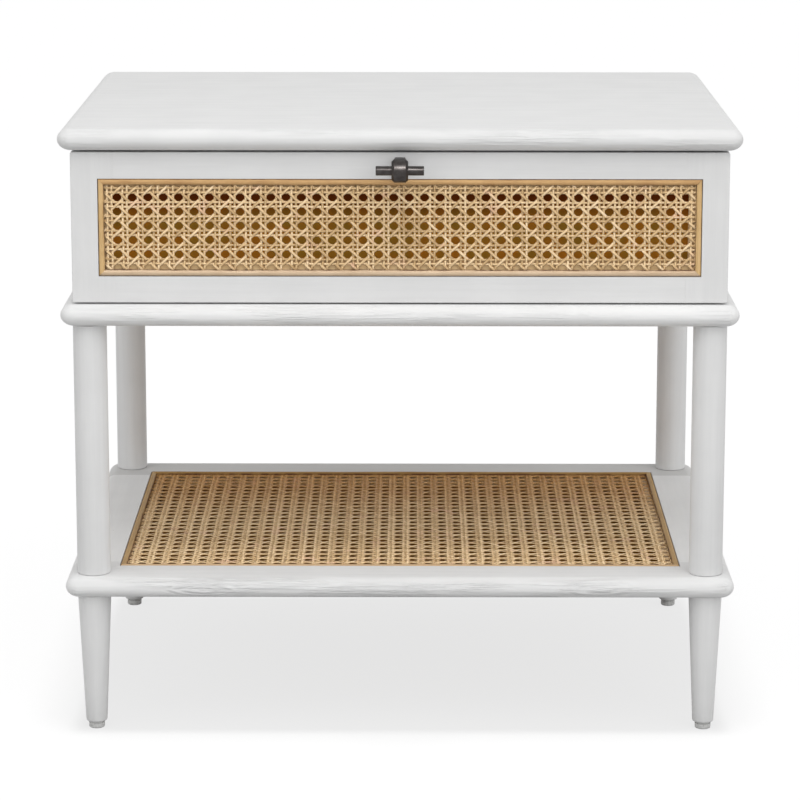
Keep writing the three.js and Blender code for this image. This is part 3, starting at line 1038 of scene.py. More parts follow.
# A darkened copy of the white paint, as painted shade on the shelf's back rail under the case.
PAINT_BACK_SHADED = PaintFinish("white_paint_back_painted_shade", "white_paint", Axis.X, (0.665, 0.663, 0.655),
                         (0.62, 0.617, 0.61))
CANE = CaneFinish("split_cane", "cane")
REED_ACROSS = ReedFinish("reed_across", "reed", Axis.X, (0.62, 0.385, 0.165), (0.35, 0.18, 0.06))
REED_PALE = ReedFinish("reed_across_pale", "reed", Axis.X, (0.69, 0.53, 0.37), (0.47, 0.33, 0.20))
REED_UPRIGHT = ReedFinish("reed_upright", "reed", Axis.Z, (0.70, 0.48, 0.23), (0.46, 0.28, 0.10))
# The shelf's cane: painted shade darkens it towards the back, under the case, and painted shade runs along
# its strands' edges.
SHELF_CANE = CaneFinish("split_cane_shelf", "cane", (0.99, 0.77, 0.48), (0.78, 0.55, 0.30),
                        (0.48, 0.29, 0.12), painted_edge_shade=(0.46, 0.30, 0.14), painted_back_shade=(0.70, 0.52, 0.32),
                        back_shade_from=-0.04, back_shade_to=0.18, shine=0.05)
SHELF_REED_FRONT = ReedFinish("reed_shelf_front", "reed", Axis.X, (0.70, 0.50, 0.30),
                              (0.48, 0.31, 0.17), shine=0.1)
# A darker copy of the shelf's reed: painted shade on the back reed, under the case.
SHELF_REED_BACK_SHADED = ReedFinish("reed_shelf_back_painted_shade", "reed", Axis.X, (0.46, 0.29, 0.11),
                             (0.28, 0.15, 0.045), shine=0.1)
SHELF_REED_DEEP = ReedFinish("reed_shelf_front_to_back", "reed", Axis.Y, (0.54, 0.36, 0.16),
                             (0.33, 0.19, 0.065), shine=0.1)
# A darker copy of the stained board, for the shelf: painted shade where the board lies deep under the
# webbing.
BACKING_SHADED = StainFinish("stained_board", "backing_board", (0.26, 0.11, 0.02), (0.20, 0.10, 0.02))
BARE_WOOD = WoodFinish("bare_wood", "white_paint", Axis.X, (0.90, 0.66, 0.36), (0.76, 0.53, 0.26), 0.6)
PLY_DEEP = WoodFinish("drawer_ply_front_to_back", "drawer_wood", Axis.Y)
PLY_ACROSS = WoodFinish("drawer_ply_across", "drawer_wood", Axis.X)
GUNMETAL = MetalFinish("brushed_gunmetal", "gunmetal", (0.074, 0.068, 0.066), (0.045, 0.040, 0.038), 0.28)
ZINC = MetalFinish("bright_zinc", "zinc_steel", (0.56, 0.57, 0.58), (0.44, 0.45, 0.47), 0.24, Axis.Y)
NYLON = PlasticFinish("grey_nylon", "glide_plastic")


# ---- cane panels ----


class Run(Enum):
    """The four ways that strands run through the webbing."""

    UPRIGHT = "upright"
    LEVEL = "level"
    FALLING = "falling"
    RISING = "rising"

    @property
    def paired(self) -> bool:
        """Whether the strands lie in pairs."""
        return self in (Run.UPRIGHT, Run.LEVEL)


@dataclass(frozen=True)
class Weave:
    """The measures of cane webbing: its mesh, its strands and how it lies between the reeds.

    The webbing swells up from under the reeds to its level in the middle. At the reed's inner edge it
    has come as far as reed_rise says, as a share of the swell's run.
    """

    pitch_across: float = 13.5 * MM
    pitch_along: float = 12.7 * MM
    shift_across: float = 0.0
    shift_along: float = 0.0
    strand_width: float = 2.1 * MM
    diagonal_width: float = 2.5 * MM
    strand_thickness: float = 0.9 * MM
    pair_spacing: float = 3.85 * MM
    pair_rise: float = 0.38 * MM
    diagonal_rise: float = 0.62 * MM
    diagonal_steepness: float = 2.0
    wander: float = 0.8 * MM
    wander_scale: float = 28.0
    swell: float = 3 * MM
    swell_run: float = 3 * MM
    reed_rise: float = 0.55


@dataclass
class Webbing:
    """Six-way cane webbing: upright and level pairs that interlace, and two sets of diagonals."""

    half_across: float
    half_along: float
    border: float
    weave: Weave
    cane: Finish
    pair_steps: int = 8
    diagonal_steps: int = 6
    sides: int = 6
    first_seed: int = 3

    def strands(self, run: Run) -> Shape:
        """Builds all strands of one run, lying about z = 0, through a geometry tree.

        Args:
            run: Which strands.

        Returns:
            Their shape, with each strand's tone, the length along it and its edges kept on the vertices.
        """
        tree = bpy.data.node_groups.new(f"cane_{run.value}", "GeometryNodeTree")
        tree.is_modifier = True
        sizes = self._sizes(run)
        for name, value in sizes.items():
            kind = "NodeSocketInt" if isinstance(value, int) else "NodeSocketFloat"
            tree.interface.new_socket(name, in_out="INPUT", socket_type=kind)
        tree.interface.new_socket("Finish", in_out="INPUT", socket_type="NodeSocketMaterial")
        tree.interface.new_socket("Strands", in_out="OUTPUT", socket_type="NodeSocketGeometry")
        self._write(Graph(tree), run)
        holder = bpy.data.objects.new(tree.name, bpy.data.meshes.new(tree.name))
        bpy.context.scene.collection.objects.link(holder)
        modifier = holder.modifiers.new("weave", "NODES")
        modifier.node_group = tree
        values = {**sizes, "Finish": self.cane.material()}
        for item in tree.interface.items_tree:
            if item.name in values and item.in_out == "INPUT":
                modifier[item.identifier] = values[item.name]
        return self._plain_shape(holder, modifier)

    def _sizes(self, run: Run) -> dict[str, float | int]:
        """Works out the inputs that one run's tree takes.

        Args:
            run: Which strands.

        Returns:
            Each input's value, by its name.
        """
        weave = self.weave
        across = (weave.pitch_across, self.half_across, weave.shift_across)
        along = (weave.pitch_along, self.half_along, weave.shift_along)
        laid, crossed = (across, along) if run is Run.UPRIGHT else (along, across)
        (step_pitch, step_half, step_shift), (run_pitch, run_half, run_shift) = laid, crossed
        step = run_pitch / (self.pair_steps if run.paired else self.diagonal_steps)
        start = math.ceil((-run_half - run_shift) / step)
        end = math.floor((run_half - run_shift) / step)
        if run.paired:
            origin = 0.0 if run is Run.UPRIGHT else 0.5
            edge = step_half - (weave.pair_spacing + weave.strand_width) / 2
            first = math.ceil((-edge - step_shift) / step_pitch - origin) + origin
            last = math.floor((edge - step_shift) / step_pitch - origin) + origin
            strands = 2 * (round(last - first) + 1)
        else:
            slope = weave.pitch_along / weave.pitch_across
            height = self.half_along + (self.half_across + abs(run_shift)) * slope + abs(step_shift)
            last = math.floor(height / step_pitch)
            first = -last
            strands = 2 * last + 1
        return {
            "Strand Count": strands, "Points": end - start + 1,
            "Start": start * step + run_shift, "End": end * step + run_shift,
            "First Offset": first * step_pitch + step_shift, "Spacing": step_pitch,
            "Crossing Spacing": run_pitch, "Crossing Shift": run_shift,
            "Half Width": self.half_across, "Half Height": self.half_along, "Border": self.border,
            "Pair Spacing": weave.pair_spacing,
            "Width": weave.strand_width if run.paired else weave.diagonal_width,
            "Thickness": weave.strand_thickness,
            "Rise": weave.pair_rise if run.paired else weave.diagonal_rise,
            "Swell": weave.swell, "Swell Run": weave.swell_run,
            "Wander": weave.wander, "Sides": self.sides,
            "Seed": list(Run).index(run) + self.first_seed,
        }

    def _write(self, graph: Graph, run: Run) -> None:
        """Writes one run's tree: lines, their weave, their section and their material.

        Args:
            graph: The tree to write in.
            run: Which strands it makes.
        """
        sizes = graph.node("NodeGroupInput")
        size = {socket.name: Signal(graph, socket) for socket in sizes.outputs if socket.name}
        woven = self._weave(graph, run, self._lines(graph, run, size), size)
        length = graph.signal("GeometryNodeSplineParameter", {}, {}, "Length")
        woven = self._mark(graph, woven, "run", length)
        flat = graph.node("GeometryNodeSetCurveNormal", {"mode": "Z_UP"}, {0: woven})
        tube = graph.node("GeometryNodeCurveToMesh", {},
                          {"Curve": flat.outputs[0], "Profile Curve": self._section(graph, size),
                           "Fill Caps": True})
        smooth = graph.node("GeometryNodeSetShadeSmooth", {}, {0: tube.outputs[0]})
        whole = graph.node("GeometryNodeRealizeInstances", {}, {0: smooth.outputs[0]})
        finished = graph.node("GeometryNodeSetMaterial", {},
                              {0: whole.outputs[0], "Material": size["Finish"]})
        graph.node("NodeGroupOutput", {}, {0: finished.outputs[0]})

    def _lines(self, graph: Graph, run: Run, size: dict[str, Signal]) -> bpy.types.NodeSocket:
        """Lays one straight line for each strand, side by side.

        Args:
            graph: The tree to write in.
            run: Which strands they are.
            size: The tree's inputs, by name.

        Returns:
            The lines, which keep each strand's tone and, in pairs, its side of the pair.
        """
        index = graph.signal("GeometryNodeInputIndex")
        points = graph.node("GeometryNodeMeshLine", {"mode": "OFFSET"}, {"Count": size["Strand Count"]})
        if run.paired:
            pair = (index / 2).math("FLOOR")
            side = (index - pair * 2) * 2 - 1
            offset = size["First Offset"] + pair * size["Spacing"] + side * size["Pair Spacing"] / 2
        else:
            offset = size["First Offset"] + index * size["Spacing"]
        laid = graph.node("GeometryNodeSetPosition", {},
                          {0: points.outputs[0], "Position": graph.vector(y=offset)})
        tone = graph.signal("FunctionNodeRandomValue", {"data_type": "FLOAT"},
                            {"ID": index, "Seed": size["Seed"]}, 1)
        marked = self._mark(graph, laid.outputs[0], "tone", tone)
        if run.paired:
            marked = self._mark(graph, marked, "side", side)
        line = graph.node("GeometryNodeCurvePrimitiveLine", {},
                          {"Start": graph.vector(size["Start"]), "End": graph.vector(size["End"])})
        fine = graph.node("GeometryNodeResampleCurve", {"mode": "COUNT"},
                          {0: line.outputs[0], "Count": size["Points"]})
        copies = graph.node("GeometryNodeInstanceOnPoints", {},
                            {"Points": marked, "Instance": fine.outputs[0]})
        return graph.node("GeometryNodeRealizeInstances", {}, {0: copies.outputs[0]}).outputs[0]

    def _section(self, graph: Graph, size: dict[str, Signal]) -> bpy.types.NodeSocket:
        """Makes a strand's flat round section, which keeps how near its edges each point is.

        Args:
            graph: The tree to write in.
            size: The tree's inputs, by name.

        Returns:
            The section's outline.
        """
        circle = graph.node("GeometryNodeCurvePrimitiveCircle", {"mode": "RADIUS"},
                            {"Resolution": size["Sides"], "Radius": 0.5})
        across, _, _ = graph.parts(graph.signal("GeometryNodeInputPosition"))
        outline = self._mark(graph, circle.outputs[0], "rim", across.math("ABSOLUTE") * 2)
        scale = graph.vector(size["Width"], size["Thickness"], 1.0)
        return graph.node("GeometryNodeTransform", {}, {0: outline, "Scale": scale}).outputs[0]

    def _weave(self, graph: Graph, run: Run, lines: bpy.types.NodeSocket,
               size: dict[str, Signal]) -> bpy.types.NodeSocket:
        """Moves the lines' points to where the strands pass over and under each other.

        Args:
            graph: The tree to write in.
            run: Which strands they are.
            lines: The straight lines.
            size: The tree's inputs, by name.

        Returns:
            The woven lines.
        """
        along, offset, _ = graph.parts(graph.signal("GeometryNodeInputPosition"))
        pitch, shift = size["Crossing Spacing"], size["Crossing Shift"]
        if run.paired:
            side = graph.signal("GeometryNodeInputNamedAttribute", {"data_type": "FLOAT"},
                                {"Name": "side"})
            origin = pitch / 2 if run is Run.UPRIGHT else 0.0
            crossing = (along - shift - origin).math("WRAP", pitch / 2, pitch / -2)
            near = crossing / (size["Pair Spacing"] / 2)
            lift = near * ((1 - near * near) / 2).math("EXPONENT")
            height = lift * side * size["Rise"] * (1 if run is Run.UPRIGHT else -1)
            kept = lines
            x, y = (offset, along) if run is Run.UPRIGHT else (along, offset)
        else:
            slope = -1 if run is Run.FALLING else 1
            turn = (along - shift) / pitch * (2 * math.pi)
            wave = self._held(turn.math("COSINE") * self.weave.diagonal_steepness, -1.0, 1.0)
            height = wave * size["Rise"] * -slope
            rise = slope * self.weave.pitch_along / self.weave.pitch_across
            x, y = along, offset + (along - shift) * rise
            outside = y.math("ABSOLUTE") > size["Half Height"]
            kept = graph.node("GeometryNodeDeleteGeometry", {"domain": "POINT"},
                              {0: lines, "Selection": outside}).outputs[0]
        drift = graph.node("ShaderNodeTexNoise", {},
                           {"Vector": graph.vector(x, y), "Scale": self.weave.wander_scale, "Detail": 2.0})
        sway_x, sway_y, _ = graph.parts(drift.outputs["Color"])
        x = x + (sway_x - 0.5) * size["Wander"] * 2
        y = y + (sway_y - 0.5) * size["Wander"] * 2
        inside = (size["Half Width"] - x.math("ABSOLUTE")).math(
            "MINIMUM", size["Half Height"] - y.math("ABSOLUTE")) - size["Border"]
        risen = self._held(inside / size["Swell Run"] + self.weave.reed_rise, 0.0, 1.0)
        height = height + risen * risen * (3 - 2 * risen) * size["Swell"]
        return graph.node("GeometryNodeSetPosition", {},
                          {0: kept, "Position": graph.vector(x, y, height)}).outputs[0]

    @staticmethod
    def _held(value: Signal, low: float, high: float) -> Signal:
        """Holds a number between two limits."""
        return value.math("MINIMUM", high).math("MAXIMUM", low)

    @staticmethod
    def _mark(graph: Graph, geometry: Any, name: str, value: Signal) -> bpy.types.NodeSocket:
        """Keeps a number on each point under a name.

        Args:
            graph: The tree to write in.
            geometry: What the points belong to.
            name: The number's name.
            value: The number.

        Returns:
            The marked geometry.
        """
        settings = {"data_type": "FLOAT", "domain": "POINT"}
        values = {"Geometry": geometry, "Name": name, "Value": value}
        return graph.node("GeometryNodeStoreNamedAttribute", settings, values).outputs[0]

    @staticmethod
    def _plain_shape(holder: bpy.types.Object, modifier: bpy.types.Modifier) -> Shape:
        """Turns what the tree made into a plain shape and clears the holder away.

        Args:
            holder: The object that the tree works on.
            modifier: The modifier that runs it.

        Returns:
            The strands, with their numbers kept on the vertices.
        """
        graph = bpy.context.evaluated_depsgraph_get()
        mesh = bpy.data.meshes.new_from_object(holder.evaluated_get(graph), depsgraph=graph)
        vertices = np.empty(len(mesh.vertices) * 3, np.float32)
        mesh.vertices.foreach_get("co", vertices)
        marks = {}
        for name in ("tone", "run", "rim"):
            marks[name] = np.empty(len(mesh.vertices), np.float32)
            mesh.attributes[name].data.foreach_get("value", marks[name])
        faces = [tuple(face.vertices) for face in mesh.polygons]
        holder.modifiers.remove(modifier)
        bpy.data.meshes.remove(mesh)
        bpy.data.meshes.remove(holder.data)
        return Shape(vertices.reshape(-1, 3).astype(float), faces, marks)


@dataclass
class ReedStrip:
    """One length of reed with mitred ends and a half-round crown.

    Its edge sways and its crown swells on a few slow waves each, whose lengths are drawn at random.
    """

    length: float
    width: float
    height: float
    shoulder: float = 2 * MM
    wander: float = 0.32 * MM
    crown_swell: float = 0.04
    waves: int = 3
    wave_range: tuple[float, float] = (20, 90)
    rim_power: float = 1.5
    crown_steps: int = 8
    station_gap: float = 4 * MM

    def shape(self, seed: int) -> Shape:
        """Builds the strip along X, its outer wall on y = 0 and its seat on z = 0.

        Args:
            seed: Makes this strip's small unevenness its own.

        Returns:
            The strip, with how near the rim each vertex is kept on it.
        """
        inward, up, rim = self._section()
        draws = np.random.default_rng(seed)
        phases = draws.uniform(0, 2 * math.pi, 2 * self.waves)
        rates = draws.uniform(*self.wave_range, 2 * self.waves)
        groups = (range(self.waves), range(self.waves, 2 * self.waves))
        stations = max(2, round(self.length / self.station_gap))
        rings = []
        for station in range(stations + 1):
            along = (2 * station / stations - 1) * (self.length / 2 - inward)
            sway, swell = (sum(np.sin(rates[i] * along + phases[i]) for i in group) / self.waves
                           for group in groups)
            y = inward + self.wander * sway * inward / self.width
            z = up * (1 + self.crown_swell * swell)
            rings.append(np.stack([along, y, z], axis=1))
        strip = loft(rings)
        strip.marks["rim"] = np.tile(rim, stations + 1)
        return strip

    def _section(self) -> tuple[np.ndarray, np.ndarray, np.ndarray]:
        """Works out the section's points.

        Returns:
            How far in each is, how high, and how near the rim.
        """
        angles = np.linspace(0, math.pi, self.crown_steps + 1)
        crown_in = self.width / 2 * (1 - np.cos(angles))
        crown_up = self.shoulder + (self.height - self.shoulder) * np.sin(angles)
        inward = np.concatenate([[0.0], crown_in, [self.width]])
        up = np.concatenate([[0.0], crown_up, [0.0]])
        rim = np.abs(2 * inward / self.width - 1) ** self.rim_power
        return inward[::-1], up[::-1], rim[::-1]


@dataclass
class CanePanel:
    """A cane infill: its webbing, the four lengths of reed round it, and the board behind."""

    prefix: str
    body: str
    across: Vector
    along: Vector
    facing: Vector
    along_names: tuple[str, str]
    reed_finishes: tuple[Finish, Finish, Finish]
    cane: Finish
    backing: Finish
    weave: Weave
    reed_width: float = 5.5 * MM
    sides: int = 6
    clearance: float = 0.25 * MM
    first_seed: int = 11

    def build(self) -> None:
        """Builds and dresses the whole infill."""
        nodes = [f"{self.prefix}_reed_{side}" for side in (*self.along_names, "left", "right")]
        box = Box.of(*nodes)
        half_across = abs(box.size.dot(self.across)) / 2
        half_along = abs(box.size.dot(self.along)) / 2
        height = abs(box.size.dot(self.facing))
        place = Matrix((self.across, self.along, self.facing)).transposed().to_4x4()
        place.translation = box.centre - self.facing * (height / 2)
        self._reeds(place, half_across, half_along, height, nodes)
        self._webbing(place, half_across, half_along)
        dress([f"{self.prefix}_backing"], self.backing)

    def _reeds(self, place: Matrix, half_across: float, half_along: float, height: float,
               nodes: Sequence[str]) -> None:
        """Builds the four lengths of reed.

        Args:
            place: The panel's place: its middle on the reeds' seat, facing along Z.
            half_across: Half the panel's size across.
            half_along: Half its size along.
            height: The reeds' height.
            nodes: The nodes that the lengths replace: two across the panel, then two along it.
        """
        turns = (0.0, math.pi, -math.pi / 2, math.pi / 2)
        for number, (node, turn) in enumerate(zip(nodes, turns)):
            level = number < 2
            length, reach = (half_across, half_along) if level else (half_along, half_across)
            strip = ReedStrip(2 * length - self.clearance, self.reed_width, height)
            laid = Matrix.Rotation(turn, 4, "Z") @ Matrix.Translation((0, -reach, 0))
            shape = strip.shape(number + self.first_seed).placed(place @ laid)
            settle(shape.piece(f"{node}_strip"), self.body, self.reed_finishes[min(number, 2)], node)

    def _webbing(self, place: Matrix, half_across: float, half_along: float) -> None:
        """Builds the webbing in three pieces: upright, level and diagonal strands.

        Args:
            place: The panel's place: its middle on the reeds' seat, facing along Z.
            half_across: Half the panel's size across.
            half_along: Half its size along.
        """
        node = f"{self.prefix}_webbing"
        seat = Box.of(node).centre.dot(self.facing) - Vector(place.translation).dot(self.facing)
        webbing = Webbing(half_across - self.clearance, half_along - self.clearance,
                          self.reed_width - self.clearance, self.weave, self.cane, sides=self.sides)
        level = Matrix.Translation((0, 0, seat))
        diagonals = webbing.strands(Run.FALLING).with_shape(webbing.strands(Run.RISING))
        layers = {
            "upright": webbing.strands(Run.UPRIGHT),
            "level": webbing.strands(Run.LEVEL),
            "diagonal": diagonals,
        }
        for name, shape in layers.items():
            piece = shape.placed(place @ level).piece(f"{self.prefix}_cane_{name}", math.pi)
            settle(piece, self.body, self.cane, node)


# ---- boards and frames ----


@dataclass
class BullnosedBoard:
    """A board whose edge is half round all the way round.

    The edge starts at a slight crease, given in degrees, and has a narrow flat land at mid height.
    """

    box: Box
    land: float = 0.5 * MM
    crease: float = 16.0
    face_corner: float = 2.75 * MM
    least_corner: float = 0.5 * MM
    edge_steps: int = 12
    corner_steps: int = 10
    face_margin: float = 1.2 * MM

    @property
    def radius(self) -> float:
        """Radius of the half-round edge."""
        return (self.box.size.z - self.land) / 2

    def shape(self) -> Shape:
        """Builds the board in its place.

        Returns:
            The board.
        """
        half_x = self.box.size.x / 2 - self.radius
        half_y = self.box.size.y / 2 - self.radius
        levels = [(-self.face_margin, 0.0)]
        start = math.radians(self.crease)
        for step in range(self.edge_steps + 1):
            angle = start + step / self.edge_steps * (math.pi / 2 - start)
            out = (math.sin(angle) - math.sin(start)) / (1 - math.sin(start))
            levels.append((self.radius * out, self.radius * (1 - math.cos(angle) / math.cos(start))))
        levels += [(out, self.box.size.z - up) for out, up in reversed(levels)]
        rings = [self._ring(half_x, half_y, out, up) for out, up in levels]
        centre = self.box.centre
        return loft(rings).placed(Matrix.Translation((centre.x, centre.y, self.box.low.z)))

    def _ring(self, half_x: float, half_y: float, out: float, up: float) -> Ring:
        """The board's outline at one height, a distance out from its flat face."""
        corner = max(self.face_corner + out, self.least_corner)
        return rounded_ring(half_x + out, half_y + out, corner, up, self.corner_steps)


@dataclass
class Case:
    """The drawer's case: the two boards, the sides, the back panel and the top rails."""

    body: str = "cabinet"

    def build(self) -> None:
        """Builds the boards and dresses the panels."""
        top = BullnosedBoard(Box.of("top_board")).shape().piece("top_board_bullnosed")
        settle(top, self.body, PAINT_ACROSS, "top_board")
        box = Box.of("floor_board")
        sockets = Supports.bores(
            (box.low.z - OVERCUT, box.low.z + Supports.socket_depth, Supports.socket_diameter))
        floor = carved("floor_board_work", BullnosedBoard(box).shape(), sockets)
        # The floor board takes lightened white paint: painted light.
        settle(floor.piece("floor_board_bullnosed"), self.body, PAINT_FLOOR_LIGHTENED, "floor_board")
        dress(["case_side_left", "case_side_right"], PAINT_DEEP)
        dress(["case_back_panel"], PAINT_ACROSS)
        dress(["top_rail_front", "top_rail_back"], PLY_ACROSS)


@dataclass
class CaneFrame:
    """The routing that a cane frame gets: front rebate, window and rear rebate, with its face up."""

    half_across: float
    half_along: float
    ledge: float = 14 * MM
    ledge_depth: float = 4.4 * MM
    backing_lap: float = 8 * MM
    wider: float = 0.0

    def cuts(self, thickness: float, backing_depth: float) -> list[Shape]:
        """Gives the three cutters, about the panel's centre, with the face at z = 0.

        Args:
            thickness: The frame's thickness.
            backing_depth: How deep under the face the backing board's seat is.

        Returns:
            The cutters of the front rebate, the window and the rear rebate.
        """
        bottom = -thickness - OVERCUT
        return [
            self._cut(0.0, -self.ledge_depth, OVERCUT),
            self._cut(self.ledge, bottom, OVERCUT, self.wider),
            self._cut(self.ledge - self.backing_lap, bottom, -backing_depth),
        ]

    def _cut(self, inset: float, low: float, high: float, wider: float = 0.0) -> Shape:
        """A cutter that leaves this much wood round the opening, and less of it at the two sides."""
        x, y = self.half_across - inset + wider, self.half_along - inset
        return block((-x, -y, low), (x, y, high))


@dataclass
class Shelf:
    """The lower shelf: a bullnosed frame of two rails and two stiles round a cane panel."""

    body: str = "cabinet"
    backing_depth: float = 11 * MM
    joint_gap: float = 0.04 * MM
    bolt_diameter: float = 8.5 * MM
    bolt_depth: float = 8.75 * MM
    clearance: float = 0.25 * MM
    weave: Weave = Weave(
        pitch_across=13.76 * MM, pitch_along=13.68 * MM, shift_across=5 * MM, shift_along=-2.3 * MM,
        strand_width=2.7 * MM, diagonal_width=2.7 * MM, strand_thickness=0.5 * MM, pair_spacing=3.9 * MM,
        pair_rise=0.14 * MM, diagonal_rise=0.24 * MM)

    def build(self) -> None:
        """Builds the frame's four members and the infill."""
        members = ("shelf_rail_front", "shelf_rail_back", "shelf_stile_left", "shelf_stile_right")
        box = Box.of(*members)
        opening = Box.of("shelf_reed_front", "shelf_reed_back", "shelf_reed_left", "shelf_reed_right")
        half_x = opening.size.x / 2 + self.clearance
        half_y = opening.size.y / 2 + self.clearance
        routing = CaneFrame(half_x, half_y)
        at_face = Matrix.Translation((box.centre.x, box.centre.y, box.high.z))
        cuts = [cut.placed(at_face) for cut in routing.cuts(box.size.z, self.backing_depth)]
        cuts += Supports.bores(
            (box.high.z - Supports.socket_depth, box.high.z + OVERCUT, Supports.socket_diameter),
            (box.low.z - OVERCUT, box.low.z + self.bolt_depth, self.bolt_diameter))
        joint = half_y - routing.ledge
        inner = joint - self.joint_gap
        far = box.size.x
        regions = (
            ((-far, -far), (far, -joint)),
            ((-far, joint), (far, far)),
            ((-far, -inner), (0, inner)),
            ((0, -inner), (far, inner)),
        )
        # The front rail and the stiles take lightened white paint (painted light), the back rail darkened
        # white paint (painted shade).
        finishes = (PAINT_KNOTTY_LIGHTENED, PAINT_BACK_SHADED, PAINT_SHELF_LIGHTENED, PAINT_SHELF_LIGHTENED)
        margin = Vector((0, 0, self.clearance))
        routed = Box(Vector((opening.low.x, opening.low.y, box.low.z)) + margin,
                     Vector((opening.high.x, opening.high.y, box.high.z)) - margin)
        blank = BullnosedBoard(box).shape()
        for name, (low, high), finish in zip(members, regions, finishes):
            keep = block((*low, -far), (*high, far)).placed(at_face)
            piece = carved(f"{name}_work", blank, cuts, keep).piece(f"{name}_bullnosed")
            settle(piece, self.body, finish, name)
            refinish(piece, routed, BARE_WOOD)
        CanePanel("shelf", self.body, Vector((1, 0, 0)), Vector((0, 1, 0)), Vector((0, 0, 1)),
                  ("front", "back"), (SHELF_REED_FRONT, SHELF_REED_BACK_SHADED, SHELF_REED_DEEP),
                  SHELF_CANE, BACKING_SHADED, self.weave, sides=5).build()


@dataclass
class DrawerFront:
    """The drawer front: two rails and two stiles with eased edges round a cane panel.

    The back of its upper edge falls away by back_bevel degrees.
    """

    body: str = "drawer"
    ease: float = 0.9 * MM
    ease_steps: int = 4
    back_bevel: float = 14.0
    backing_depth: float = 12 * MM
    joint_gap: float = 0.04 * MM
    bolt_diameter: float = 4.5 * MM
    counterbore_diameter: float = 11 * MM
    counterbore_depth: float = 5 * MM
    clearance: float = 0.25 * MM
    ledge: float = 14 * MM
    wider: float = 2.5 * MM
    # The backing's painted shadow is full from this far under the window's top edge and fades out over
    # shadow_fade below it.
    shadow_depth: float = 2 * MM
    shadow_fade: float = 26 * MM
    weave: Weave = Weave(shift_across=1.4 * MM, shift_along=1.4 * MM)

    def build(self) -> None:
        """Builds the frame's four members and the infill."""
        members = ("drawer_front_rail_top", "drawer_front_rail_bottom", "drawer_front_stile_left",
                   "drawer_front_stile_right")
        box = Box.of(*members)
        opening = Box.of("drawer_reed_top", "drawer_reed_bottom", "drawer_reed_left", "drawer_reed_right")
        half_x = opening.size.x / 2 + self.clearance
        half_z = opening.size.z / 2 + self.clearance
        routing = CaneFrame(half_x, half_z, self.ledge, wider=self.wider)
        cuts = routing.cuts(box.size.y, self.backing_depth) + self._edge_cuts(box)
        place = Matrix.Rotation(math.pi / 2, 4, "X")
        place.translation = Vector((box.centre.x, box.low.y, box.centre.z))
        joint = half_x - routing.ledge
        inner = joint - self.joint_gap
        far = box.size.x
        regions = (
            ((-inner, 0), (inner, far)),
            ((-inner, -far), (inner, 0)),
            ((-far, -far), (-joint, far)),
            ((joint, -far), (far, far)),
        )
        finishes = (PAINT_ACROSS, PAINT_ACROSS, PAINT_UPRIGHT, PAINT_UPRIGHT)
        margin = Vector((0, self.clearance, 0))
        routed = Box(Vector((opening.low.x, box.low.y, opening.low.z)) + margin,
                     Vector((opening.high.x, box.high.y, opening.high.z)) - margin)
        blank = self._blank(box)
        for name, (low, high), finish in zip(members, regions, finishes):
            keep = block((*low, -far), (*high, far))
            piece = carved(f"{name}_work", blank, cuts, keep).placed(place).piece(f"{name}_eased")
            settle(piece, self.body, finish, name)
            refinish(piece, routed, BARE_WOOD)
        CanePanel("drawer", self.body, Vector((1, 0, 0)), Vector((0, 0, 1)), Vector((0, -1, 0)),
                  ("bottom", "top"), (REED_PALE, REED_ACROSS, REED_UPRIGHT), CANE,
                  self._backing(opening), self.weave).build()

    def _edge_cuts(self, box: Box) -> list[Shape]:
        """Gives the cutters of the handle's bolt hole and of the upper edge's bevel.

        Args:
            box: The front's space.

        Returns:
            The hole, its counterbore and the bevel, about the front's centre with its face at z = 0.
        """
        thickness = box.size.y
        level = Box.of("handle_bolt").centre.z - box.centre.z
        tilt = Matrix.Rotation(math.radians(self.back_bevel), 4, "X")
        arris = Matrix.Translation((0, box.size.z / 2, -2 * self.ease))
        bevel = block((-box.size.x, 0, -2 * thickness), (box.size.x, thickness, 0))
        return [
            drill(0, level, -thickness - OVERCUT, OVERCUT, self.bolt_diameter),
            drill(0, level, -thickness - OVERCUT, self.counterbore_depth - thickness,
                  self.counterbore_diameter),
            bevel.placed(arris @ tilt),
        ]

    def _backing(self, opening: Box) -> Finish:
        """The stained board behind the webbing, with painted shadow that darkens it under the top rail."""
        window_top = opening.high.z - self.ledge
        return StainFinish("stained_board_upright_painted_shadow", "backing_board",
                           shadow_level=window_top - self.shadow_depth, fade=self.shadow_fade)

    def _blank(self, box: Box) -> Shape:
        """The front before it is routed, face up at z = 0, with its edges rounded over.

        Args:
            box: The front's space.

        Returns:
            The blank.
        """
        half_x, half_y, thickness = box.size.x / 2, box.size.z / 2, box.size.y
        edge = [(2 * self.ease, 0.0)]
        for step in range(self.ease_steps + 1):
            angle = step / self.ease_steps * math.pi / 2
            edge.append((self.ease * (1 - math.sin(angle)), self.ease * (1 - math.cos(angle))))
        levels = [(inset, up - thickness) for inset, up in edge]
        levels += [(inset, -up) for inset, up in reversed(edge)]
        return loft([
            rounded_ring(half_x - inset, half_y - inset, 2 * self.ease - min(inset, self.ease), height)
            for inset, height in levels])


# ---- posts, legs and glides ----


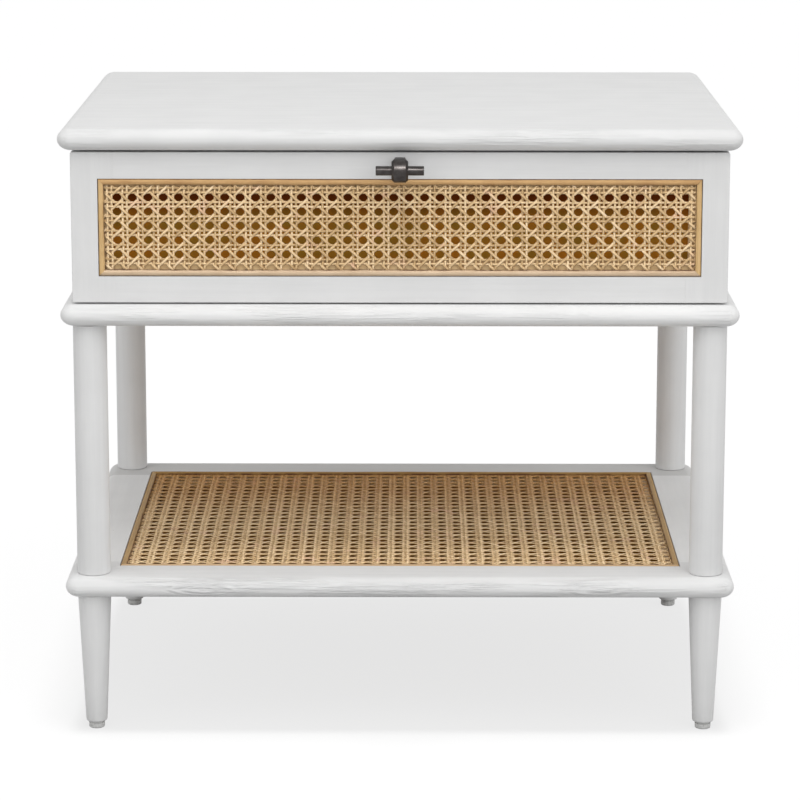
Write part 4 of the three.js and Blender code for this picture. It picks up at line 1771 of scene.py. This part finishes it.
@dataclass
class Supports:
    """Four turned posts, four tapered legs and the glides under them.

    The holes in a leg's ends are given by their radius and their depth.
    """

    body: str = "cabinet"
    sides: int = 72
    tenon_radius: float = 7 * MM
    tenon_length: float = 8 * MM
    socket_diameter: float = 14.5 * MM
    socket_depth: float = 8.25 * MM
    post_ease: float = 0.8 * MM
    foot_ease: float = 1.5 * MM
    leg_top_ease: float = 0.75 * MM
    nail_hole: tuple[float, float] = (1.75 * MM, 12.25 * MM)
    bolt_hole: tuple[float, float] = (4.25 * MM, 18.25 * MM)
    foot_radius: float = 9.5 * MM
    nail_radius: float = 1.5 * MM
    glide_flange: float = 1.6 * MM
    glide_neck: float = 1 * MM
    glide_ease: float = 1.2 * MM
    glide_top_ease: float = 0.3 * MM
    glide_height: float = 6.25 * MM

    @staticmethod
    def corners(kind: str) -> list[str]:
        """The four nodes of one kind."""
        return [f"{kind}_{end}_{side}" for end in ("front", "back") for side in ("left", "right")]

    @staticmethod
    def bores(*holes: tuple[float, float, float]) -> list[Shape]:
        """Gives the same round cutters on the axis of every post.

        Args:
            holes: For each cutter, the heights of its lower and upper ends, and its diameter.

        Returns:
            The cutters, post by post.
        """
        centres = [Box.of(post).centre for post in Supports.corners("post")]
        return [drill(centre.x, centre.y, *hole) for centre in centres for hole in holes]

    def build(self) -> None:
        """Builds every support at its corner."""
        makers: dict[str, tuple[Callable[[Box], Shape], Finish]] = {
            "post": (self._post, PAINT_UPRIGHT),
            "leg": (self._leg, PAINT_UPRIGHT),
            "glide": (self._glide, NYLON),
        }
        for kind, (maker, finish) in makers.items():
            for node in self.corners(kind):
                box = Box.of(node)
                place = Matrix.Translation((box.centre.x, box.centre.y, box.low.z))
                settle(maker(box).placed(place).piece(f"{node}_turned"), self.body, finish, node)
        dress(self.corners("leg_bolt"), ZINC)

    def _post(self, box: Box) -> Shape:
        """A round post with a tenon at each end.

        Args:
            box: The post's space.

        Returns:
            The post, about the Z axis with its foot at z = 0.
        """
        radius, tenon = box.size.x / 2, self.tenon_radius
        low, high = self.tenon_length, box.size.z - self.tenon_length
        profile = [(0, 0), (tenon, 0), (tenon, low), (radius, low), (radius, high), (tenon, high),
                   (tenon, box.size.z), (0, box.size.z)]
        return turned(eased_profile(profile, {3: self.post_ease, 4: self.post_ease}), self.sides)

    def _leg(self, box: Box) -> Shape:
        """A tapered leg, bored for its bolt above and its glide's nail below.

        Args:
            box: The leg's space.

        Returns:
            The leg, about the Z axis with its foot at z = 0.
        """
        nail, nail_depth = self.nail_hole
        bolt, bolt_depth = self.bolt_hole
        top = box.size.z
        profile = [(0, nail_depth), (nail, nail_depth), (nail, 0), (self.foot_radius, 0),
                   (box.size.x / 2, top), (bolt, top), (bolt, top - bolt_depth), (0, top - bolt_depth)]
        return turned(eased_profile(profile, {3: self.foot_ease, 4: self.leg_top_ease}), self.sides)

    def _glide(self, box: Box) -> Shape:
        """A nail-on glide: a round pad, a thin ring above it, and its nail.

        Args:
            box: The glide's space.

        Returns:
            The glide, about the Z axis with its pad at z = 0.
        """
        radius, top = box.size.x / 2, self.glide_height
        neck, step = radius - self.glide_neck, top - self.glide_flange
        profile = [(0, 0), (radius, 0), (radius, step), (neck, step), (neck, top),
                   (self.nail_radius, top), (self.nail_radius, box.size.z), (0, box.size.z)]
        radii = {1: self.glide_ease, 2: self.glide_top_ease}
        return turned(eased_profile(profile, radii), self.sides)


# ---- handle ----


@dataclass
class Handle:
    """A short round bar through a bevelled collar, on a flat-topped stem."""

    body: str = "drawer"
    sides: int = 64
    bar_ease: float = 0.6 * MM
    collar_bevel: float = 2.2 * MM
    collar_ease: float = 0.35 * MM
    bore_radius: float = 4.35 * MM
    stem_ease: float = 1 * MM
    stem_steps: int = 6
    saddle_gap: float = 0.25 * MM

    def build(self) -> None:
        """Builds the three metal pieces and dresses the bolt."""
        for node, maker in (("handle_bar", self._bar), ("handle_collar", self._collar)):
            box = Box.of(node)
            place = Matrix.Translation(box.centre) @ Matrix.Rotation(math.pi / 2, 4, "Y")
            settle(maker(box).placed(place).piece(f"{node}_turned"), self.body, GUNMETAL, node)
        settle(self._stem().piece("handle_stem_milled"), self.body, GUNMETAL, "handle_stem")
        dress(["handle_bolt"], ZINC)

    def _bar(self, box: Box) -> Shape:
        """The bar.

        Args:
            box: The bar's space on the handle.

        Returns:
            The bar, about the Z axis.
        """
        radius, reach = box.size.z / 2, box.size.x / 2
        profile = [(0, -reach), (radius, -reach), (radius, reach), (0, reach)]
        return turned(eased_profile(profile, {1: self.bar_ease, 2: self.bar_ease}), self.sides)

    def _collar(self, box: Box) -> Shape:
        """The collar, with a wide bevel on both ends.

        Args:
            box: The collar's space on the handle.

        Returns:
            The collar, about the Z axis.
        """
        outer, half, bevel = box.size.z / 2, box.size.x / 2, self.collar_bevel
        profile = [(self.bore_radius, -half), (outer - bevel, -half), (outer, bevel - half),
                   (outer, half - bevel), (outer - bevel, half), (self.bore_radius, half)]
        radii = {corner: self.collar_ease for corner in range(1, 5)}
        return turned(eased_profile(profile, radii), self.sides, closed=True)

    def _stem(self) -> Shape:
        """The stem, from the drawer's face to the collar that its end is hollowed for.

        Returns:
            The stem in its place.
        """
        box, collar = Box.of("handle_stem"), Box.of("handle_collar")
        half_x, half_z = box.size.x / 2, box.size.z / 2
        saddle = collar.size.z / 2 + self.saddle_gap
        ring = rounded_ring(half_x, half_z, self.stem_ease, 0.0, self.stem_steps)
        reach = np.sqrt(saddle ** 2 - ring[:, 1] ** 2)
        front = np.column_stack([ring[:, :2], -collar.centre.y - reach])
        rear = np.column_stack([ring[:, :2], np.full(len(ring), -box.high.y)])
        shape = loft([rear, front])
        faces = shape.faces[:-1] + self._saddle_faces(ring, len(ring))
        place = Matrix.Rotation(math.pi / 2, 4, "X")
        place.translation = Vector((box.centre.x, 0, box.centre.z))
        return Shape(shape.vertices, faces).placed(place)

    @staticmethod
    def _saddle_faces(ring: Ring, shift: int) -> list[tuple[int, ...]]:
        """Joins the ring's right side to its left, level by level, in a hollow.

        Args:
            ring: The stem's outline.
            shift: The number of the first vertex of its outer end.

        Returns:
            The hollow's faces.
        """
        count = len(ring)
        quarter = count // 4
        right = [*range(3 * quarter, count), *range(quarter)]
        left = [*reversed(range(quarter, 3 * quarter))]
        faces = []
        for low in range(len(right) - 1):
            quad = (left[low], right[low], right[low + 1], left[low + 1])
            faces.append(tuple(index + shift for index in quad))
        return faces


# ---- drawer box and slides ----


@dataclass
class DrawerBox:
    """The drawer's box behind its front, and the slides that carry it."""

    def build(self) -> None:
        """Dresses the box and the slides."""
        dress(["drawer_side_left", "drawer_side_right"], PLY_DEEP)
        dress(["drawer_inner_front", "drawer_back", "drawer_bottom"], PLY_ACROSS)
        for member in ("cabinet", "middle", "drawer"):
            dress([f"slide_{member}_member_{side}" for side in ("left", "right")], ZINC)


# ---- studio ----


@dataclass
class Studio:
    """A pale floor, soft light from above and in front, and the camera.

    The camera's turns are in radians. The lamps' elevations, azimuths and softnesses are in degrees.
    """

    eye: Vector = field(default_factory=lambda: Vector((0.0099, -2.9664, 0.9176)))
    aim: Vector = field(default_factory=lambda: Vector((0.0, 0.0, 0.4)))
    pitch: float = 0.1922
    yaw: float = 0.00354
    roll: float = 0.0005
    lens: float = 143.44
    sensor: float = 36.0
    shift: float = -0.1
    reach: float = 100.0
    dome: float = 0.54
    key: float = 1.01
    key_elevation: float = 60.0
    key_azimuth: float = 4.0
    key_distance: float = 2.0
    key_width: float = 1.6
    fill_right: float = 1.04
    fill_left: float = 0.75
    fill_elevation: float = 20.0
    fill_azimuth: float = 50.0
    fill_softness: float = 60.0
    sheen: float = 0.5
    sheen_elevation: float = 66.0
    sheen_softness: float = 14.0
    glint: float = 2.4
    glint_elevation: float = 40.0
    glint_softness: float = 10.0
    overhead: float = 5.0
    overhead_elevation: float = 88.0
    overhead_softness: float = 11.0
    floor_glow: float = 0.757
    floor_shade: float = 0.105
    floor_bounce: float = 0.2
    floor_size: float = 14.0

    def build(self) -> None:
        """Sets the view, the camera, the floor, the world and the lamps."""
        scene = bpy.context.scene
        scene.view_settings.view_transform = "Standard"
        self._camera(scene)
        floor = self._floor()
        self._world(scene)
        self._softbox("key_light")
        self._sun("fill_light_right", self.fill_right, self.fill_elevation, self.fill_azimuth,
                  self.fill_softness)
        self._sun("fill_light_left", self.fill_left, self.fill_elevation, -self.fill_azimuth,
                  self.fill_softness)
        overhead = self._sun("overhead_light", self.overhead, self.overhead_elevation, 0.0,
                             self.overhead_softness)
        self._light_only(overhead, [floor])
        sheen = self._sun("sheen_light", self.sheen, self.sheen_elevation, self.key_azimuth,
                          self.sheen_softness, True)
        self._light_only(sheen, self._pieces_of(CANE, SHELF_CANE, REED_ACROSS, REED_PALE, REED_UPRIGHT))
        glint = self._sun("glint_light", self.glint, self.glint_elevation, self.key_azimuth,
                          self.glint_softness, True)
        self._light_only(glint, self._pieces_of(GUNMETAL))

    def _camera(self, scene: bpy.types.Scene) -> None:
        """Stands the camera in front, looking slightly down.

        Args:
            scene: The scene that it belongs to.
        """
        camera = bpy.data.cameras.new("camera")
        camera.lens = self.lens
        camera.sensor_width = self.sensor
        camera.shift_y = self.shift
        camera.clip_end = self.reach
        stand = bpy.data.objects.new("camera", camera)
        turn = Matrix.Rotation(self.yaw, 4, "Z") @ Matrix.Rotation(math.pi / 2 - self.pitch, 4, "X")
        stand.matrix_world = Matrix.Translation(self.eye) @ turn @ Matrix.Rotation(self.roll, 4, "Z")
        scene.collection.objects.link(stand)
        scene.camera = stand

    @staticmethod
    def _seen(graph: Graph) -> Signal:
        """Tells the rays that show the backdrop from those that light the nightstand.

        Args:
            graph: The tree to write in.

        Returns:
            1 for rays from the camera, off a glossy surface or through glass.
        """
        path = graph.node("ShaderNodeLightPath")
        camera, glossy, through = (Signal(graph, path.outputs[name]) for name in
                                   ("Is Camera Ray", "Is Glossy Ray", "Is Transmission Ray"))
        return camera.math("MAXIMUM", glossy).math("MAXIMUM", through)

    def _floor(self) -> bpy.types.Object:
        """Lays a floor that shows white with the nightstand's soft shadow.

        Returns:
            The floor.
        """
        half = self.floor_size / 2
        level = solid_bounds[0][2]
        ring = np.array([[-half, -half, 0], [half, -half, 0], [half, half, 0], [-half, half, 0]])
        floor = Shape(ring + [0, 0, level], [(0, 1, 2, 3)]).piece("floor")
        material = bpy.data.materials.new("pale_floor")
        material.use_nodes = True
        graph = Graph(material.node_tree)
        glow = graph.node("ShaderNodeEmission", {}, {"Strength": self.floor_glow})
        lit = graph.node("ShaderNodeBsdfDiffuse", {}, {"Color": [self.floor_shade] * 3})
        shown = graph.node("ShaderNodeAddShader", {}, {0: glow.outputs[0], 1: lit.outputs[0]})
        bounce = graph.node("ShaderNodeBsdfDiffuse", {}, {"Color": [self.floor_bounce] * 3})
        both = graph.node("ShaderNodeMixShader", {},
                          {0: self._seen(graph), 1: bounce.outputs[0], 2: shown.outputs[0]})
        graph.node("ShaderNodeOutputMaterial", {}, {"Surface": both.outputs[0]})
        floor.data.materials.append(material)
        return floor

    def _world(self, scene: bpy.types.Scene) -> None:
        """Makes a white backdrop and a softer dome that lights the nightstand.

        Args:
            scene: The scene that it belongs to.
        """
        world = bpy.data.worlds.new("studio")
        world.use_nodes = True
        scene.world = world
        graph = Graph(world.node_tree)
        strength = self._seen(graph) * (1 - self.dome) + self.dome
        light = graph.node("ShaderNodeBackground", {}, {"Color": (1.0, 1.0, 1.0), "Strength": strength})
        graph.node("ShaderNodeOutputWorld", {}, {"Surface": light.outputs[0]})

    def _softbox(self, name: str) -> None:
        """Adds the main lamp: a wide round panel above the front that doesn't show itself.

        Args:
            name: The lamp's name.
        """
        lamp = bpy.data.lights.new(name, "AREA")
        lamp.shape = "DISK"
        lamp.size = self.key_width
        lamp.energy = math.pi * self.key * (self.key_distance ** 2 + self.key_width ** 2 / 4)
        stand = bpy.data.objects.new(name, lamp)
        turn = self._facing(self.key_elevation, self.key_azimuth)
        stand.matrix_world = (Matrix.Translation(self.aim) @ turn
                              @ Matrix.Translation((0, 0, self.key_distance)))
        stand.visible_camera = False
        stand.visible_glossy = False
        bpy.context.scene.collection.objects.link(stand)

    def _sun(self, name: str, strength: float, elevation: float, azimuth: float,
             softness: float, mirrored: bool = False) -> bpy.types.Object:
        """Adds a far lamp.

        Args:
            name: The lamp's name.
            strength: Its strength.
            elevation: Degrees above the floor.
            azimuth: Degrees to the right of the front.
            softness: How wide it looks, in degrees.
            mirrored: Whether shiny surfaces show it.

        Returns:
            The lamp.
        """
        lamp = bpy.data.lights.new(name, "SUN")
        lamp.energy = strength
        lamp.angle = math.radians(softness)
        stand = bpy.data.objects.new(name, lamp)
        stand.matrix_world = self._facing(elevation, azimuth)
        stand.visible_glossy = mirrored
        bpy.context.scene.collection.objects.link(stand)
        return stand

    @staticmethod
    def _facing(elevation: float, azimuth: float) -> Matrix:
        """The turn of a lamp that shines on the front from these degrees up and to the right."""
        turn = Matrix.Rotation(math.radians(azimuth), 4, "Z")
        return turn @ Matrix.Rotation(math.radians(90 - elevation), 4, "X")

    @staticmethod
    def _pieces_of(*finishes: Finish) -> list[bpy.types.Object]:
        """Looks up the pieces that have any of some finishes.

        Args:
            finishes: The finishes.

        Returns:
            The pieces.
        """
        names = {finish.name for finish in finishes}
        return [piece for piece in bpy.context.scene.objects
                if any(holder.material and holder.material.name in names
                       for holder in piece.material_slots)]

    @staticmethod
    def _light_only(lamp: bpy.types.Object, receivers: Sequence[bpy.types.Object]) -> None:
        """Keeps a lamp's light to some objects, while every object still casts its shadow.

        Args:
            lamp: The lamp.
            receivers: The objects that it lights.
        """
        lit = bpy.data.collections.new(f"{lamp.name}_receivers")
        for receiver in receivers:
            lit.objects.link(receiver)
        lamp.light_linking.receiver_collection = lit


def main() -> None:
    """Builds the nightstand and its studio."""
    logging.basicConfig(level=logging.INFO, format="%(message)s")
    for part in (Supports(), Shelf(), Case(), DrawerFront(), Handle(), DrawerBox(), Studio()):
        log.info("building %s", type(part).__name__)
        part.build()


if __name__ == "__main__":
    main()
